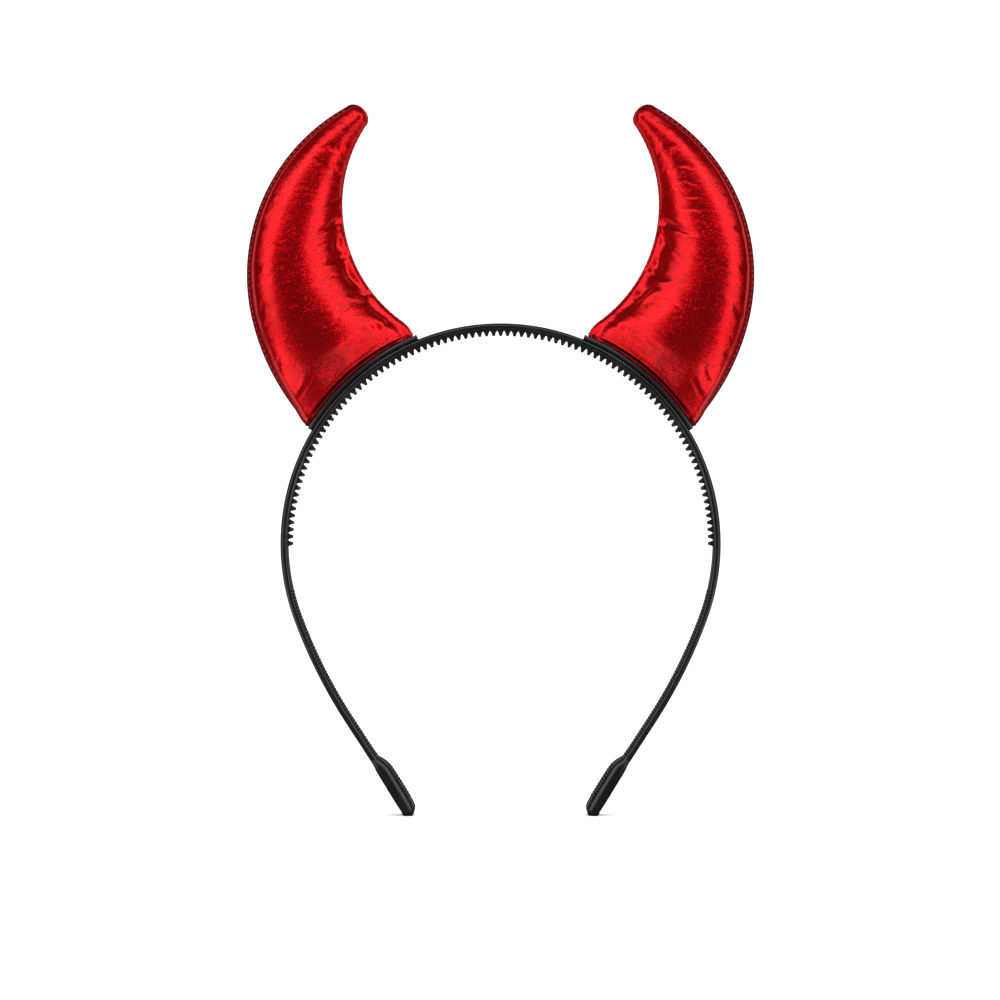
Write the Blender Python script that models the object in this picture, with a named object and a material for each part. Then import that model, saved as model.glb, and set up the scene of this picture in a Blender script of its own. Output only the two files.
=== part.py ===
"""Devil horns headband: a moulded comb headband that carries two padded horns.

Units are metres and +Z is up. X runs along the width of the headband, Y through its depth,
and the headband stands on its two tips at Z = 0, centred on X = 0 and Y = 0.
"""

import math
from typing import NamedTuple

import bmesh
import bpy
from mathutils import Vector

MM = 0.001

# Headband: its outer face follows a wide arch, a gentle arc and a straight leg on each side
ARCH_RADIUS = 64.6 * MM
ARCH_CENTRE_Z = 79.9 * MM
ARCH_END = math.radians(-20.2)
SIDE_RADIUS = 151.8 * MM
SIDE_END = math.radians(-33.1)
BAND_DEPTH = 8.0 * MM
BAND_THICK_TOP = 2.1 * MM
BAND_THICK_LEG = 2.4 * MM
BAND_EDGE = 0.45 * MM

# Comb teeth on the inside of the upper half of the arch
TOOTH_PITCH = math.radians(1.916)
TEETH_PER_SIDE = 47
TOOTH_ROOT = 1.45 * MM
TOOTH_TIP = 0.8 * MM
TOOTH_LENGTH = 1.45 * MM
TOOTH_DEPTH = 5.2 * MM
TOOTH_TIP_DEPTH = 4.2 * MM

# Step between the cross-sections of the band where it has no teeth
PLAIN_STEP = math.radians(4.0)
SIDE_STEP = math.radians(3.3)

# Place of the inner face, on which the teeth stand, among the faces of a cross-section
INNER_FACE = 4

# Edges that bend more than this stay sharp
SHARP_ANGLE = math.radians(40.0)


class TipRow(NamedTuple):
    """One cross-section of a paddle tip, in mm from where the straight leg begins."""

    along: float
    outer: float
    inner: float
    depth: float
    edge: float


TIP_ROWS = (
    TipRow(along=7.0, outer=0.0, inner=-2.4, depth=8.0, edge=0.45),
    TipRow(along=13.0, outer=0.0, inner=-2.5, depth=8.0, edge=0.45),
    TipRow(along=14.4, outer=0.0, inner=-3.2, depth=8.8, edge=0.7),
    TipRow(along=16.4, outer=0.25, inner=-3.95, depth=9.8, edge=1.2),
    TipRow(along=19.0, outer=0.35, inner=-4.2, depth=10.2, edge=1.4),
    TipRow(along=29.4, outer=0.6, inner=-3.95, depth=10.2, edge=1.4),
    TipRow(along=31.4, outer=0.5, inner=-3.65, depth=10.0, edge=1.35),
    TipRow(along=32.2, outer=0.35, inner=-3.15, depth=9.7, edge=1.2),
    TipRow(along=32.8, outer=0.05, inner=-2.35, depth=9.3, edge=0.9),
    TipRow(along=33.4, outer=-0.6, inner=-1.3, depth=8.8, edge=0.3),
)

# Base strips on top of the band, one under each horn
SEAT_GAP = 0.2 * MM
STRIP_THICK = 1.0 * MM
STRIP_DEPTH = 7.8 * MM
STRIP_LOW = math.radians(30.9)
STRIP_HIGH = math.radians(68.0)
STRIP_PARTS = 16

# Horns: the convex edge is a straight run and two arcs that meet smoothly, the concave one an arc
OUTER_CENTRE = Vector((18.2 * MM, 158.8 * MM))
OUTER_RADIUS = 56.5 * MM
OUTER_JOIN = math.radians(-13.1)
OUTER_TO = math.radians(61.2)
OUTER_LOW_RADIUS = 68.9 * MM
OUTER_FROM = math.radians(-37.8)
INNER_CENTRE = Vector((4.3 * MM, 179.5 * MM))
INNER_RADIUS = 42.2 * MM
INNER_FROM = math.radians(-54.7)
INNER_TO = math.radians(33.0)
TIP_HEIGHT = 3.2 * MM
PUFF_BASE = 0.27
PUFF_TIP = 0.35
PUFF_SHARPNESS = 0.62
PUFF_START = 0.78
PUFF_RISE = 0.06
BULGE_POWER = 3
SEAM_WIDTH = 1.1 * MM
SEAM_SHARE_LIMIT = 0.2
SEAM_THICK = 1.0 * MM
INNER_THICK = 0.5 * MM
HORN_ROWS = 28
HORN_COLUMNS = 13
TIP_ROUNDS = 4
TIP_TURN = math.radians(84.0)


class FootRow(NamedTuple):
    """One row of a horn's foot: mm above the strip, depth in mm, and its ends in degrees."""

    lift: float
    depth: float
    low: float
    high: float


FOOT_ROWS = (
    FootRow(lift=0.0, depth=8.6, low=31.4, high=67.0),
    FootRow(lift=0.9, depth=8.8, low=31.1, high=67.3),
    FootRow(lift=1.3, depth=8.0, low=31.1, high=67.3),
    FootRow(lift=1.5, depth=12.6, low=31.3, high=67.2),
    FootRow(lift=2.9, depth=13.8, low=31.6, high=67.1),
)


class Fold(NamedTuple):
    """One soft fold that runs from a horn's inner edge towards its middle."""

    at: float
    slant: float
    reach: float
    spread: float
    dent: float


HORN_FOLDS = (
    Fold(at=0.07, slant=0.16, reach=0.75, spread=0.024, dent=0.9 * MM),
    Fold(at=0.24, slant=0.14, reach=0.60, spread=0.022, dent=0.8 * MM),
    Fold(at=0.42, slant=0.10, reach=0.70, spread=0.024, dent=1.1 * MM),
    Fold(at=0.56, slant=0.05, reach=0.90, spread=0.026, dent=1.1 * MM),
    Fold(at=0.72, slant=0.02, reach=0.60, spread=0.022, dent=0.6 * MM),
)

# Share of a horn's width over which the folds fade out before its seams, and how fast
# they fade where the padding thins out
FOLD_START = 0.12
FOLD_FADE = 1.5


class Finish(NamedTuple):
    """Colour and surface values of one material."""

    name: str
    colour: tuple
    roughness: float
    metallic: float


BLACK_PLASTIC = Finish("black_plastic", (0.010, 0.010, 0.011, 1.0), 0.28, 0.0)
BLACK_STRIP = Finish("black_strip", (0.014, 0.014, 0.015, 1.0), 0.70, 0.0)
RED_FOIL_FABRIC = Finish("red_foil_fabric", (0.62, 0.008, 0.020, 1.0), 0.30, 0.6)


def clear_scene():
    """Remove every object that the new file starts with."""
    for item in list(bpy.data.objects):
        bpy.data.objects.remove(item, do_unlink=True)


def make_material(finish):
    """Return a Principled material with the finish's values."""
    material = bpy.data.materials.new(finish.name)
    material.use_nodes = True
    shader = material.node_tree.nodes["Principled BSDF"]
    shader.inputs["Base Color"].default_value = finish.colour
    shader.inputs["Roughness"].default_value = finish.roughness
    shader.inputs["Metallic"].default_value = finish.metallic
    return material


def finish_object(name, bm, material):
    """Turn a bmesh into a named object with smooth faces and sharp edges where it bends."""
    bmesh.ops.recalc_face_normals(bm, faces=bm.faces)
    mesh = bpy.data.meshes.new(name)
    bm.to_mesh(mesh)
    bm.free()
    mesh.materials.append(material)
    mesh.shade_smooth()
    mesh.set_sharp_from_angle(angle=SHARP_ANGLE)
    item = bpy.data.objects.new(name, mesh)
    bpy.context.scene.collection.objects.link(item)
    return item


def bridge_rings(bm, rings):
    """Join each ring of vertices to the next with quads, and return them ring by ring."""
    bands = []
    for first, second in zip(rings, rings[1:]):
        count = len(first)
        band = []
        for i in range(count):
            j = (i + 1) % count
            band.append(bm.faces.new((first[i], first[j], second[j], second[i])))
        bands.append(band)
    return bands


def polar(centre, radius, angle):
    """Return the point of a circle in the X, Z plane at an angle above the X axis."""
    return centre + radius * Vector((math.cos(angle), math.sin(angle)))


ARCH_CENTRE = Vector((0.0, ARCH_CENTRE_Z))
SIDE_START = polar(ARCH_CENTRE, ARCH_RADIUS, ARCH_END)
SIDE_CENTRE = polar(SIDE_START, -SIDE_RADIUS, ARCH_END)
LEG_START = polar(SIDE_CENTRE, SIDE_RADIUS, SIDE_END)
LEG_OUTWARD = Vector((math.cos(SIDE_END), math.sin(SIDE_END)))
LEG_DOWN = Vector((math.sin(SIDE_END), -math.cos(SIDE_END)))


class Station(NamedTuple):
    """One cross-section of the band on its right half: a place and its measures."""

    point: Vector
    outward: Vector
    outer: float
    inner: float
    depth: float
    edge: float


def band_station(centre, radius, angle, thick):
    """Return the band's plain cross-section on an arc."""
    outward = Vector((math.cos(angle), math.sin(angle)))
    return Station(centre + radius * outward, outward, 0.0, -thick, BAND_DEPTH, BAND_EDGE)


def tooth_angles():
    """Return the angles between which each tooth of the right half stands, top tooth first."""
    half = 0.5 * TOOTH_ROOT / (ARCH_RADIUS - BAND_THICK_TOP)
    middles = [math.pi / 2 - k * TOOTH_PITCH for k in range(TEETH_PER_SIDE + 1)]
    return [(middle + half, middle - half) for middle in middles]


def steps_between(start, end, step):
    """Return evenly spaced angles after start, up to and with end, about step apart."""
    count = max(1, round(abs(end - start) / step))
    return [start + (end - start) * k / count for k in range(1, count + 1)]


def half_stations():
    """Return the cross-sections from the top tooth's edge down to the right tip."""
    stations = []
    for start, end in tooth_angles():
        for angle in (start, end):
            if angle < math.pi / 2:
                stations.append(band_station(ARCH_CENTRE, ARCH_RADIUS, angle, BAND_THICK_TOP))
    last = tooth_angles()[-1][1]
    for angle in steps_between(last, ARCH_END, PLAIN_STEP):
        share = (last - angle) / (last - SIDE_END)
        thick = BAND_THICK_TOP + share * (BAND_THICK_LEG - BAND_THICK_TOP)
        stations.append(band_station(ARCH_CENTRE, ARCH_RADIUS, angle, thick))
    for angle in steps_between(ARCH_END, SIDE_END, SIDE_STEP):
        share = (last - angle) / (last - SIDE_END)
        thick = BAND_THICK_TOP + share * (BAND_THICK_LEG - BAND_THICK_TOP)
        stations.append(band_station(SIDE_CENTRE, SIDE_RADIUS, angle, thick))
    for row in TIP_ROWS:
        point = LEG_START + row.along * MM * LEG_DOWN
        measures = (row.outer * MM, row.inner * MM, row.depth * MM, row.edge * MM)
        stations.append(Station(point, LEG_OUTWARD, *measures))
    return stations


def ring_outline(station):
    """Return the cross-section's corners as (distance outward, Y) pairs."""
    half = station.depth / 2
    edge = station.edge
    outer = station.outer
    inner = station.inner
    front = [
        (outer, half - edge),
        (outer - edge, half),
        (inner + edge, half),
        (inner, half - edge),
        (inner, TOOTH_DEPTH / 2),
    ]
    back = [(distance, -y) for distance, y in reversed(front)]
    return front + back


def add_ring(bm, station, side):
    """Add the cross-section's vertices, on the right for side 1 and the left for side -1."""
    ring = []
    for distance, y in ring_outline(station):
        place = station.point + distance * station.outward
        ring.append(bm.verts.new((side * place.x, y, place.y)))
    return ring


def grow_teeth(bm, faces):
    """Extrude each face into a tapered tooth that points at the middle of the arch."""
    grown = bmesh.ops.extrude_discrete_faces(bm, faces=faces)["faces"]
    middle = Vector((0.0, 0.0, ARCH_CENTRE_Z))
    for face in grown:
        centre = face.calc_center_median()
        inward = (middle - centre).normalized()
        across = inward.cross(Vector((0.0, 1.0, 0.0)))
        for vert in face.verts:
            offset = vert.co - centre
            swing = offset.dot(across) * TOOTH_TIP / TOOTH_ROOT
            reach = offset.y * TOOTH_TIP_DEPTH / TOOTH_DEPTH
            vert.co = centre + swing * across + TOOTH_LENGTH * inward
            vert.co.y += reach


def make_comb_band(material):
    """Make the one-piece headband: arch, teeth, legs and paddle tips with flat feet."""
    bm = bmesh.new()
    half = half_stations()
    rings = [add_ring(bm, station, -1) for station in reversed(half)]
    rings += [add_ring(bm, station, 1) for station in half]
    bands = bridge_rings(bm, rings)
    bm.faces.new(rings[0])
    bm.faces.new(rings[-1])
    bmesh.ops.recalc_face_normals(bm, faces=bm.faces)
    top = len(half) - 1
    spread = range(-TEETH_PER_SIDE, TEETH_PER_SIDE + 1)
    grow_teeth(bm, [bands[top + 2 * k][INNER_FACE] for k in spread])
    whole = bm.verts[:] + bm.edges[:] + bm.faces[:]
    cut = bmesh.ops.bisect_plane(
        bm, geom=whole, plane_co=(0.0, 0.0, 0.0), plane_no=(0.0, 0.0, 1.0), clear_inner=True
    )
    feet = [item for item in cut["geom_cut"] if isinstance(item, bmesh.types.BMEdge)]
    bmesh.ops.edgenet_fill(bm, edges=feet)
    return finish_object("comb_band", bm, material)


def make_base_strip(name, side, material):
    """Make one thin strip bent over the band's outer face."""
    bm = bmesh.new()
    low = ARCH_RADIUS + SEAT_GAP
    high = low + STRIP_THICK
    half = STRIP_DEPTH / 2
    rings = []
    for k in range(STRIP_PARTS + 1):
        angle = STRIP_LOW + (STRIP_HIGH - STRIP_LOW) * k / STRIP_PARTS
        ring = []
        for radius, y in ((low, -half), (high, -half), (high, half), (low, half)):
            place = polar(ARCH_CENTRE, radius, angle)
            ring.append(bm.verts.new((side * place.x, y, place.y)))
        rings.append(ring)
    bridge_rings(bm, rings)
    bm.faces.new(rings[0])
    bm.faces.new(rings[-1])
    return finish_object(name, bm, material)


def outer_edge(share):
    """Return the point of a horn's convex edge at a share of its arcs' length."""
    low_run = OUTER_LOW_RADIUS * (OUTER_JOIN - OUTER_FROM)
    high_run = OUTER_RADIUS * (OUTER_TO - OUTER_JOIN)
    run = share * (low_run + high_run)
    if run < low_run:
        centre = polar(OUTER_CENTRE, OUTER_RADIUS - OUTER_LOW_RADIUS, OUTER_JOIN)
        return polar(centre, OUTER_LOW_RADIUS, OUTER_FROM + run / OUTER_LOW_RADIUS)
    return polar(OUTER_CENTRE, OUTER_RADIUS, OUTER_JOIN + (run - low_run) / OUTER_RADIUS)


def inner_edge(share):
    """Return the point of a horn's concave edge at a share of its arc's length."""
    return polar(INNER_CENTRE, INNER_RADIUS, INNER_FROM + share * (INNER_TO - INNER_FROM))


class HornRow(NamedTuple):
    """One row across a horn: its two ends, how far its middle bulges, and its half depth."""

    outer: Vector
    inner: Vector
    bulge: Vector
    half_depth: float
    share: float


def foot_rows():
    """Return the rows of a horn's hem and of the fold above it, which follow the strip."""
    rows = []
    for row in FOOT_ROWS:
        radius = ARCH_RADIUS + 2 * SEAT_GAP + STRIP_THICK + row.lift * MM
        low = math.radians(row.low)
        high = math.radians(row.high)
        outer = polar(ARCH_CENTRE, radius, low)
        inner = polar(ARCH_CENTRE, radius, high)
        bulge = polar(ARCH_CENTRE, radius, (low + high) / 2) - (outer + inner) / 2
        rows.append(HornRow(outer, inner, bulge, row.depth / 2 * MM, 0.0))
    return rows


def body_rows(first_bulge):
    """Return the rows of a horn's padded body, from above the foot to the base of its tip."""
    rows = []
    for k in range(HORN_ROWS + 1):
        share = k / HORN_ROWS
        outer = outer_edge(share)
        inner = inner_edge(share)
        puff = PUFF_BASE + share * (PUFF_TIP - PUFF_BASE)
        rise = 1.0 - (1.0 - PUFF_START) * math.exp(-share / PUFF_RISE)
        half_depth = puff * rise * (outer - inner).length
        bulge = first_bulge * (1.0 - share) ** BULGE_POWER
        rows.append(HornRow(outer, inner, bulge, half_depth, share))
    return rows


def tip_rows(last):
    """Return the rows that round off a horn's tip beyond its last body row."""
    middle = (last.outer + last.inner) / 2
    reach = (last.outer - last.inner) / 2
    ahead = Vector((-reach.y, reach.x)).normalized() * TIP_HEIGHT
    rows = []
    for k in range(1, TIP_ROUNDS + 1):
        turn = TIP_TURN * k / TIP_ROUNDS
        centre = middle + math.sin(turn) * ahead
        side = math.cos(turn) * reach
        half_depth = math.cos(turn) * last.half_depth
        rows.append(HornRow(centre + side, centre - side, last.bulge, half_depth, 1.0))
    return rows


def horn_rows():
    """Return all rows of a horn from its foot to its rounded tip."""
    rows = foot_rows()
    rows += body_rows(rows[-1].bulge)
    return rows + tip_rows(rows[-1])


def fold_dent(share, across):
    """Return how deep the folds dent a horn, across running from -1 outside to 1 inside."""
    depth = 0.0
    inset = (1.0 - across) / 2
    for fold in HORN_FOLDS:
        line = fold.at + fold.slant * inset
        near = math.exp(-(((share - line) / fold.spread) ** 2))
        fade = max(0.0, 1.0 - inset / fold.reach)
        depth += fold.dent * near * fade * min(1.0, inset / FOLD_START)
    return depth


def seam_share(length):
    """Return where the padding starts on a row, from -1 outside to 1 inside."""
    return -1.0 + 2 * min(SEAM_WIDTH, SEAM_SHARE_LIMIT * length) / length


def row_points(row):
    """Return one row's front points as (x, depth, z), from its outer to its inner end."""
    start = seam_share((row.outer - row.inner).length)
    middle = (row.outer + row.inner) / 2
    reach = (row.inner - row.outer) / 2
    points = []
    for k in range(-1, HORN_COLUMNS):
        swing = -math.cos(math.pi * max(k, 0) / (HORN_COLUMNS - 1))
        across = -1.0 if k < 0 else start + (1.0 - start) * (swing + 1.0) / 2
        place = middle + across * reach + (1.0 - across**2) * row.bulge
        rim = min(SEAM_THICK if across < 0 else INNER_THICK, row.half_depth) / 2
        swell = (1.0 - swing**2) ** PUFF_SHARPNESS
        dent = fold_dent(row.share, across) * min(1.0, FOLD_FADE * swell)
        depth = rim + (row.half_depth - rim) * swell - dent
        points.append(Vector((place.x, max(depth, rim / 2), place.y)))
    return points


def make_horn(name, side, material):
    """Make one padded horn as a closed solid."""
    bm = bmesh.new()
    rings = []
    for row in horn_rows():
        points = row_points(row)
        front = [bm.verts.new((side * p.x, -p.y, p.z)) for p in points]
        back = [bm.verts.new((side * p.x, p.y, p.z)) for p in reversed(points)]
        rings.append(front + back)
    bridge_rings(bm, rings)
    for ring in (rings[0], rings[-1]):
        half = len(ring) // 2
        for i in range(half - 1):
            j = len(ring) - 1 - i
            bm.faces.new((ring[i], ring[i + 1], ring[j - 1], ring[j]))
    return finish_object(name, bm, material)


def main():
    """Build the headband, its two base strips and its two horns."""
    clear_scene()
    plastic = make_material(BLACK_PLASTIC)
    strip = make_material(BLACK_STRIP)
    fabric = make_material(RED_FOIL_FABRIC)
    make_comb_band(plastic)
    for label, side in (("left", -1), ("right", 1)):
        make_base_strip(f"base_strip_{label}", side, strip)
        make_horn(f"horn_{label}", side, fabric)


main()
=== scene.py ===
"""Dresses the devil horns headband: moulded comb band, base strips and padded foil horns.

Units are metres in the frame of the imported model: +Z is up, the front looks towards -Y, and
the headband stands on its two tips at Z = 0, centred on X = 0 and Y = 0.
"""

import logging
import math
from dataclasses import dataclass, replace
from enum import Enum
from typing import Iterable, Optional, Sequence, Union

import bmesh
import bpy
import numpy as np
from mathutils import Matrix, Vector


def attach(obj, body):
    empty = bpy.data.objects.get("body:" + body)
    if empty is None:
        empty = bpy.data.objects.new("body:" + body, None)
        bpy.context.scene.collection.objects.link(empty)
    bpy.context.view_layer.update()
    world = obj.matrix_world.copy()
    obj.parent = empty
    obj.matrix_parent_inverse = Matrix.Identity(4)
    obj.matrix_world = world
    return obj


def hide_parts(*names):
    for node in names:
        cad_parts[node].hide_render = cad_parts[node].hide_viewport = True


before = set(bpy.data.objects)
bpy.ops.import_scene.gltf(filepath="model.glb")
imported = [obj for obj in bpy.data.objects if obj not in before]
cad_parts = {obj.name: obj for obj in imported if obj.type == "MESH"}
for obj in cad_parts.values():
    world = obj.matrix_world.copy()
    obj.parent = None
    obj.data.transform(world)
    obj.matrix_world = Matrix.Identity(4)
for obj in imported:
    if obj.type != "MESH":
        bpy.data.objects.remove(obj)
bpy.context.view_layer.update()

MM = 0.001
BODY = "root"

# Where a colour mix takes its share and its two colours, and where it gives its result
MIX_INPUTS = (0, 6, 7)
MIX_OUTPUT = 2

# Degrees of bend past which an edge of a moulded or cut piece stays sharp
SHARP_BEND = 50.0

# Scale of a wave texture whose bands are one unit apart
BAND_SCALE = 0.314

# The line of points beside a rounded edge, which keeps the edge crisp, lies at most this share
# of the edge's radius away from it, and at most this share of the narrowest flat face
SUPPORT_OF_EDGE = 0.35
SUPPORT_OF_FLAT = 0.3

log = logging.getLogger("devil_horns_headband")


class Side(Enum):
    """The half of the headband that a piece is on, as seen from the front."""

    LEFT = -1
    RIGHT = 1

    @property
    def label(self) -> str:
        """Return the side's name in lower case."""
        return self.name.lower()


class Slot(Enum):
    """The record's material slots."""

    PLASTIC = "black_plastic"
    STRIP = "black_strip"
    FOIL = "red_foil_fabric"


class Port:
    """One output of a node, with the operators that build Math, Vector Math and Mix nodes."""

    def __init__(self, graph: "Graph", socket: bpy.types.NodeSocket) -> None:
        """Keep the graph and the socket."""
        self.graph = graph
        self.socket = socket

    def sibling(self, name: str) -> "Port":
        """Return another output of the same node."""
        return Port(self.graph, self.socket.node.outputs[name])

    def _join(self, operation: str, first: "Operand", second: "Operand") -> "Port":
        """Join two operands with the node that suits their kind.

        Args:
            operation: ADD, SUBTRACT, MULTIPLY or another operation that both kinds share.
            first: The left operand.
            second: The right operand.

        Returns:
            The result's port.
        """
        kinds = {item.socket.type for item in (first, second) if isinstance(item, Port)}
        if "RGBA" in kinds:
            settings = {"data_type": "RGBA", "blend_type": operation}
            inputs = dict(zip(MIX_INPUTS, (1.0, first, second)))
            return self.graph.node("ShaderNodeMix", settings, inputs, MIX_OUTPUT)
        if "VECTOR" in kinds:
            return self.graph.node(
                "ShaderNodeVectorMath", {"operation": operation}, {0: first, 1: second}
            )
        return self.graph.node("ShaderNodeMath", {"operation": operation}, {0: first, 1: second})

    def __add__(self, other: "Operand") -> "Port":
        """Return self + other."""
        return self._join("ADD", self, other)

    def __radd__(self, other: "Operand") -> "Port":
        """Return other + self."""
        return self._join("ADD", other, self)

    def __sub__(self, other: "Operand") -> "Port":
        """Return self - other."""
        return self._join("SUBTRACT", self, other)

    def __rsub__(self, other: "Operand") -> "Port":
        """Return other - self."""
        return self._join("SUBTRACT", other, self)

    def __mul__(self, other: "Operand") -> "Port":
        """Return self * other."""
        return self._join("MULTIPLY", self, other)

    def __rmul__(self, other: "Operand") -> "Port":
        """Return other * self."""
        return self._join("MULTIPLY", other, self)


Operand = Union[Port, float, Sequence[float]]


class Graph:
    """A node tree that is filled through one method."""

    def __init__(self, tree: bpy.types.NodeTree) -> None:
        """Keep the tree."""
        self.tree = tree

    def _feed(self, socket: bpy.types.NodeSocket, value: "Operand") -> None:
        """Link a port to a socket, or set the socket's own value.

        Args:
            socket: The input to feed.
            value: A port, a number or a tuple of numbers.
        """
        if isinstance(value, Port):
            self.tree.links.new(value.socket, socket)
        elif socket.type in ("VECTOR", "ROTATION") and isinstance(value, (int, float)):
            socket.default_value = (value, value, value)
        elif socket.type == "RGBA" and len(value) == 3:
            socket.default_value = (*value, 1.0)
        else:
            socket.default_value = value

    def node(
        self,
        kind: str,
        settings: Optional[dict] = None,
        inputs: Optional[dict] = None,
        out: Union[int, str] = 0,
    ) -> Port:
        """Add a node, with its settings first and then the values or links of its sockets.

        Args:
            kind: The node's type.
            settings: Attributes of the node; stops are a colour ramp's (place, colour) pairs.
            inputs: Socket name or index to a port or a value.
            out: The output to return, by name or index.

        Returns:
            The port of that output.
        """
        node = self.tree.nodes.new(kind)
        for key, value in (settings or {}).items():
            if key == "stops":
                self._set_stops(node.color_ramp, value)
            else:
                setattr(node, key, value)
        for key, value in (inputs or {}).items():
            self._feed(node.inputs[key], value)
        return Port(self, node.outputs[out] if len(node.outputs) else None)

    def power(self, base: Operand, exponent: float) -> Port:
        """Return base to the power of exponent."""
        return self.node("ShaderNodeMath", {"operation": "POWER"}, {0: base, 1: exponent})

    def ratio(self, above: Operand, below: Operand) -> Port:
        """Return above divided by below."""
        return self.node("ShaderNodeMath", {"operation": "DIVIDE"}, {0: above, 1: below})

    def vector(self, x: Operand, y: Operand, z: Operand) -> Port:
        """Return a vector of three numbers."""
        return self.node("ShaderNodeCombineXYZ", None, {"X": x, "Y": y, "Z": z})

    @staticmethod
    def _set_stops(ramp: bpy.types.ColorRamp, stops: Sequence[tuple]) -> None:
        """Give a ramp its stops.

        Args:
            ramp: The ramp, which has two stops to begin with.
            stops: Pairs of a place and a grey level or colour.
        """
        while len(ramp.elements) < len(stops):
            ramp.elements.new(0.5)
        for element, (place, level) in zip(ramp.elements, stops):
            element.position = place
            colour = (level, level, level) if isinstance(level, float) else level
            element.color = (*colour, 1.0)


class Surface(Graph):
    """The shader graph of one material, with the nodes that every finish here uses."""

    def __init__(self, name: str) -> None:
        """Make the material and empty its tree."""
        self.material = bpy.data.materials.new(name)
        self.material.use_nodes = True
        super().__init__(self.material.node_tree)
        self.tree.nodes.clear()

    def place(self) -> Port:
        """Return the surface point in the frame's own metres."""
        return self.node("ShaderNodeTexCoord", out="Object")

    def noise(self, place: Operand, size: float, detail: float = 2.0) -> Port:
        """Return soft noise with blots about as large as size.

        Args:
            place: The point at which it is read.
            size: Width of a blot in the units of place.
            detail: Number of finer layers.

        Returns:
            The port of a value from 0 to 1.
        """
        inputs = {"Vector": place, "Scale": 1.0 / size, "Detail": detail}
        return self.node("ShaderNodeTexNoise", None, inputs, out="Fac")

    def attribute(self, name: str, out: str = "Fac") -> Port:
        """Return a value that the mesh holds at each point, as a number or as a Vector."""
        return self.node("ShaderNodeAttribute", {"attribute_name": name}, None, out)

    def blend(self, share: Port, first: Operand, second: Operand) -> Port:
        """Return the colour that lies a share of the way from first to second."""
        inputs = dict(zip(MIX_INPUTS, (share, first, second)))
        return self.node("ShaderNodeMix", {"data_type": "RGBA"}, inputs, MIX_OUTPUT)

    def fade(self, value: Port, limits: tuple, lowest: float = 0.0) -> Port:
        """Return a soft rise from lowest to 1 while value crosses the limits.

        Args:
            value: The number that is followed.
            limits: Where the rise starts and ends.
            lowest: The result before the rise.

        Returns:
            The port of the result.
        """
        inputs = {"Value": value, 1: limits[0], 2: limits[1], 3: lowest, 4: 1.0}
        settings = {"interpolation_type": "SMOOTHSTEP"}
        return self.node("ShaderNodeMapRange", settings, inputs)

    def ramp(self, value: Port, stops: Sequence[tuple]) -> Port:
        """Return value sent through a ramp of (place, level) stops."""
        return self.node("ShaderNodeValToRGB", {"stops": stops}, {"Fac": value})

    def bump(self, height: Port, distance: float, normal: Optional[Port] = None) -> Port:
        """Return the normal of a surface that a height pattern shapes.

        Args:
            height: The pattern, from 0 to 1.
            distance: Height in metres where the pattern is 1.
            normal: The normal to start from, or the mesh's own.

        Returns:
            The port of the new normal.
        """
        inputs = {"Height": height, "Distance": distance, "Strength": 1.0}
        if normal is not None:
            inputs["Normal"] = normal
        return self.node("ShaderNodeBump", None, inputs)

    def finish(self, inputs: dict) -> bpy.types.Material:
        """End the tree in a Principled shader and return the material.

        Args:
            inputs: The shader's sockets by name.

        Returns:
            The finished material.
        """
        shader = self.node("ShaderNodeBsdfPrincipled", None, inputs)
        self.node("ShaderNodeOutputMaterial", None, {"Surface": shader})
        return self.material


@dataclass(frozen=True)
class GlossPlastic:
    """Glossy black plastic as it comes from the mould, with faint flow marks and rubbed spots."""

    name: str = "gloss_black_plastic"
    colour: tuple = (0.0014, 0.0014, 0.0015)
    worn_colour: tuple = (0.0032, 0.0033, 0.0033)
    gloss: float = 0.24
    worn_gloss: float = 0.34
    shine: float = 0.78
    blot: float = 6.0 * MM
    wear_stops: tuple = ((0.42, 0.0), (0.72, 1.0))
    grain: float = 0.5 * MM
    grain_height: float = 0.004 * MM
    ripple: float = 5.0 * MM
    ripple_height: float = 0.03 * MM

    def make(self) -> bpy.types.Material:
        """Return the material."""
        surface = Surface(self.name)
        place = surface.place()
        wear_and_highlight = surface.ramp(surface.noise(place, self.blot, 4.0), self.wear_stops)
        colour = surface.blend(wear_and_highlight, self.colour, self.worn_colour)
        roughness = self.gloss + (self.worn_gloss - self.gloss) * number(wear_and_highlight)
        ripple = surface.bump(surface.noise(place, self.ripple, 1.0), self.ripple_height)
        normal = surface.bump(surface.noise(place, self.grain), self.grain_height, ripple)
        inputs = {"Base Color": colour, "Roughness": roughness, "Normal": normal}
        return surface.finish({**inputs, "Specular IOR Level": self.shine})


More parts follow.
